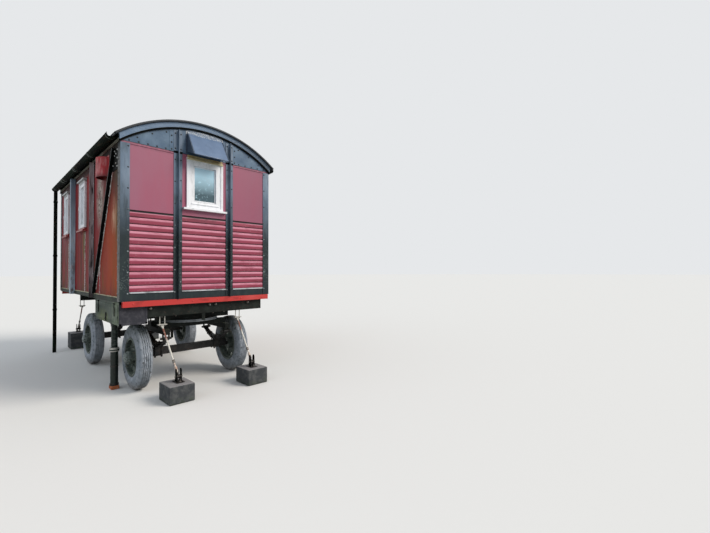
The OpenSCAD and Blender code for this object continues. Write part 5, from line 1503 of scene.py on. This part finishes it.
class HUT_OT_locker(bpy.types.Operator):
    """Adds the side locker's door, edge strips, strap hinges and hasp"""
    bl_idname = "hut.locker"
    bl_label = "Side locker"

    def execute(self, context):
        low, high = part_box("side_locker")
        x = low.x
        door = bar((x - 7 * MM, low.y + 0.05, low.z + 0.035), (x + MM, high.y - 0.05,
            high.z - 0.035), 2 * MM)
        edit_all(door)
        bpy.ops.mesh.select_all(action="DESELECT")
        bpy.ops.object.mode_set(mode="OBJECT")
        outer = min(p.center.x for p in door.data.polygons)
        for face in door.data.polygons:
            face.select = face.normal.x < -0.9 and face.center.x < outer + 0.5 * MM \
                and face.area > 0.05
        bpy.ops.object.mode_set(mode="EDIT")
        bpy.ops.mesh.inset(thickness=0.045, depth=0)
        bpy.ops.mesh.inset(thickness=0.006, depth=-4 * MM)
        settle(door)
        width = 0.028
        strips = [bar((x - 4 * MM, y, low.z), (x, y + width, high.z), MM)
            for y in (low.y, high.y - width)]
        strips += border((low.x, low.y - 4 * MM, low.z), (high.x, low.y, high.z), width, MM)
        keep(joined([door] + strips), "locker_door", "locker_paint")
        iron = []
        for y in (low.y + 0.22, high.y - 0.22):
            iron += [bar((x - 0.011, y - 0.016, high.z - 0.20), (x - 7 * MM, y + 0.016,
                high.z - 0.02), MM),
                rod((x - 0.011, y - 0.03, high.z - 0.022), (x - 0.011, y + 0.03,
                high.z - 0.022), 7 * MM, 12, edge=MM)]
        y = (low.y + high.y) / 2
        iron += [bar((x - 0.012, y - 0.020, low.z + 0.02), (x - 6 * MM, y + 0.020, low.z + 0.14),
            MM), rod((x - 0.030, y, low.z + 0.055), (x - 6 * MM, y, low.z + 0.055), 5 * MM, 10)]
        keep(joined(iron), "locker_ironwork", "brace_black")
        return {"FINISHED"}


class HUT_OT_ground(bpy.types.Operator):
    """Casts the ground blocks and the brick, adds the rods' cheeks and nuts, the prop's collars"""
    bl_idname = "hut.ground"
    bl_label = "Ground fixings"

    # the x of the clamp, of the rod's foot and of the block, the block's y and its height, in mm
    GROUND = ((-595, -520, -540, -2710, 250), (595, 620, 620, -2710, 250),
        (-770, -770, -770, 2710, 370), (770, 770, 770, 2710, 370))
    HALF_X, HALF_Y = 172, 200
    # (across, up) in mm: a black cheek with a round top stands outside each lug
    CHEEK = ((-40, 0), (40, 0), (30, 60), (28, 150), (20, 172), (0, 180), (-20, 172),
        (-28, 150), (-30, 60))
    # height in m, how far it stands out and half its length in mm
    COLLARS = ((0.073, 9, 12), (0.345, 4, 10), (0.590, 14, 22), (0.618, 9, 10))

    def rough(self, low, high, cell, round_by, depth, grain):
        """A cast block with rounded, slightly crumbled edges."""
        skin = depth * 0.6
        lift = Vector((skin, skin, skin))
        piece = rounded(bar(Vector(low) + lift, Vector(high) - lift), round_by, 3)
        apply_modifier(piece, "REMESH", mode="VOXEL", voxel_size=cell)
        clouds = bpy.data.textures.new("crumble", "CLOUDS")
        clouds.noise_scale = grain
        apply_modifier(piece, "DISPLACE", texture=clouds, strength=depth, mid_level=0.5,
            texture_coords="LOCAL")
        floor = min(v.co.z for v in piece.data.vertices)
        piece.data.transform(Matrix.Translation((0, 0, low[2] - floor)))
        return piece

    def execute(self, context):
        blocks = [self.rough(mm(x - self.HALF_X, y - self.HALF_Y, 0), mm(x + self.HALF_X,
            y + self.HALF_Y, height), 0.011, 0.010, 0.004, 0.03)
            for _, _, x, y, height in self.GROUND]
        blocks = keep(joined(blocks), "cast_blocks", "charcoal_block", smooth=50)
        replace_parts(blocks, "ground_blocks")
        brick = self.rough(*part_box("prop_pad"), 0.004, 0.005, 0.003, 0.012)
        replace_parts(keep(brick, "sandy_brick", "red_brick", smooth=50), "prop_pad")
        self.rods()
        self.prop()
        return {"FINISHED"}

    def rods(self):
        plate, under, pins, loose, cheeks = [], [], [], [], []
        for top_x, foot_x, _, y, height in self.GROUND:
            foot = mm(foot_x, y, height + 72)
            clamp = mm(top_x, math.copysign(2292.5, y), 1008)
            plate += facing([mm(foot_x, y + shift, height + 8) for shift in (-62, 62)], UP)
            under += facing([clamp + mm(shift, 0, 0) for shift in (-34, 34)], DOWN)
            run = (clamp - mm(0, 0, 18) - foot).normalized()
            loose += facing([foot + run * reach for reach in (0.205, 0.231)], run)
            for out in (-1, 1):
                pins.append((foot + mm(out * 36, 0, 0), Vector((out, 0, 0))))
                cheek = extruded(self.CHEEK, 8)
                cheek.data.transform(Matrix.Translation(mm(foot_x + out * 32 + 4, y, height + 7))
                    @ Matrix.Scale(MM, 4) @ QUARTER_TURN)
                cheeks.append(rounded(cheek, 1.5 * MM))
        keep(joined(cheeks), "rod_foot_cheeks", "brace_black")
        nuts("foot_plate_nuts", plate, 0.026, "bolt_steel", 0.014)
        nuts("clamp_nuts", under, 0.024, "bolt_steel", 0.008)
        nuts("eye_pin_nuts", pins, 0.024, "bolt_steel")
        nuts("rod_lock_nuts", loose, 0.034, "bolt_steel")

    def prop(self):
        low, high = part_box("prop")
        x, y = (low.x + high.x) / 2, (low.y + high.y) / 2
        radius = high.x - x - 14 * MM
        parts = []
        for z, wide, tall in self.COLLARS:
            collar = [(radius + r * MM, z + a * MM) for r, a in ((-9, -tall), (wide - 2, -tall),
                (wide, 2 - tall), (wide, tall - 2), (wide - 2, tall), (-9, tall))]
            parts.append(turned(collar, (x, y, 0), UP))
        keep(joined(parts), "prop_collars", "galvanised_steel")


class HUT_OT_cowl(bpy.types.Operator):
    """Adds the riveted flanges round the vent cowl"""
    bl_idname = "hut.cowl"
    bl_label = "Vent cowl"

    def execute(self, context):
        low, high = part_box("vent_cowl")
        x = -HALF_W
        parts, heads = [], []
        for y0 in (low.y - 0.026, high.y):
            parts.append(bar((x - 3 * MM, y0, low.z), (x, y0 + 0.026, high.z + 0.026), MM))
            heads += row((x - 3 * MM, y0 + 0.013, low.z + 0.02),
                (x - 3 * MM, y0 + 0.013, high.z + 0.01), 0.06, LEFT)
        parts.append(bar((x - 3 * MM, low.y, high.z), (x, high.y, high.z + 0.026), MM))
        keep(joined(parts), "cowl_flanges", "cowl_red")
        rivets("cowl_rivets", heads, "cowl_red", 9 * MM)
        return {"FINISHED"}


OPERATORS = (HUT_OT_stage, HUT_OT_finishes, HUT_OT_tyres, HUT_OT_wheel_fittings,
    HUT_OT_end_rivets, HUT_OT_board_nails, HUT_OT_side_rivets, HUT_OT_roof_edge, HUT_OT_windows,
    HUT_OT_hoods, HUT_OT_door, HUT_OT_gutters, HUT_OT_underframe, HUT_OT_locker, HUT_OT_ground,
    HUT_OT_cowl)


class HUT_PT_panel(bpy.types.Panel):
    """Lists the sizes, the colours and the steps of the hut"""
    bl_idname = "HUT_PT_panel"
    bl_label = "Shepherd's hut"
    bl_space_type = "VIEW_3D"
    bl_region_type = "UI"
    bl_category = "Hut"

    def draw(self, context):
        for group in (context.scene.hut_sizes, context.scene.hut_colours):
            box = self.layout.box()
            for name in group.__annotations__:
                box.prop(group, name)
        for step in OPERATORS:
            self.layout.operator(step.bl_idname)


CLASSES = (HutSizes, HutColours, *OPERATORS, HUT_PT_panel)


def register():
    for each in CLASSES:
        bpy.utils.register_class(each)
    bpy.types.Scene.hut_sizes = bpy.props.PointerProperty(type=HutSizes)
    bpy.types.Scene.hut_colours = bpy.props.PointerProperty(type=HutColours)


def unregister():
    del bpy.types.Scene.hut_colours
    del bpy.types.Scene.hut_sizes
    for each in reversed(CLASSES):
        bpy.utils.unregister_class(each)


def main():
    register()
    for step in OPERATORS:
        group, name = step.bl_idname.split(".")
        getattr(getattr(bpy.ops, group), name)()


if __name__ == "__main__":
    main()
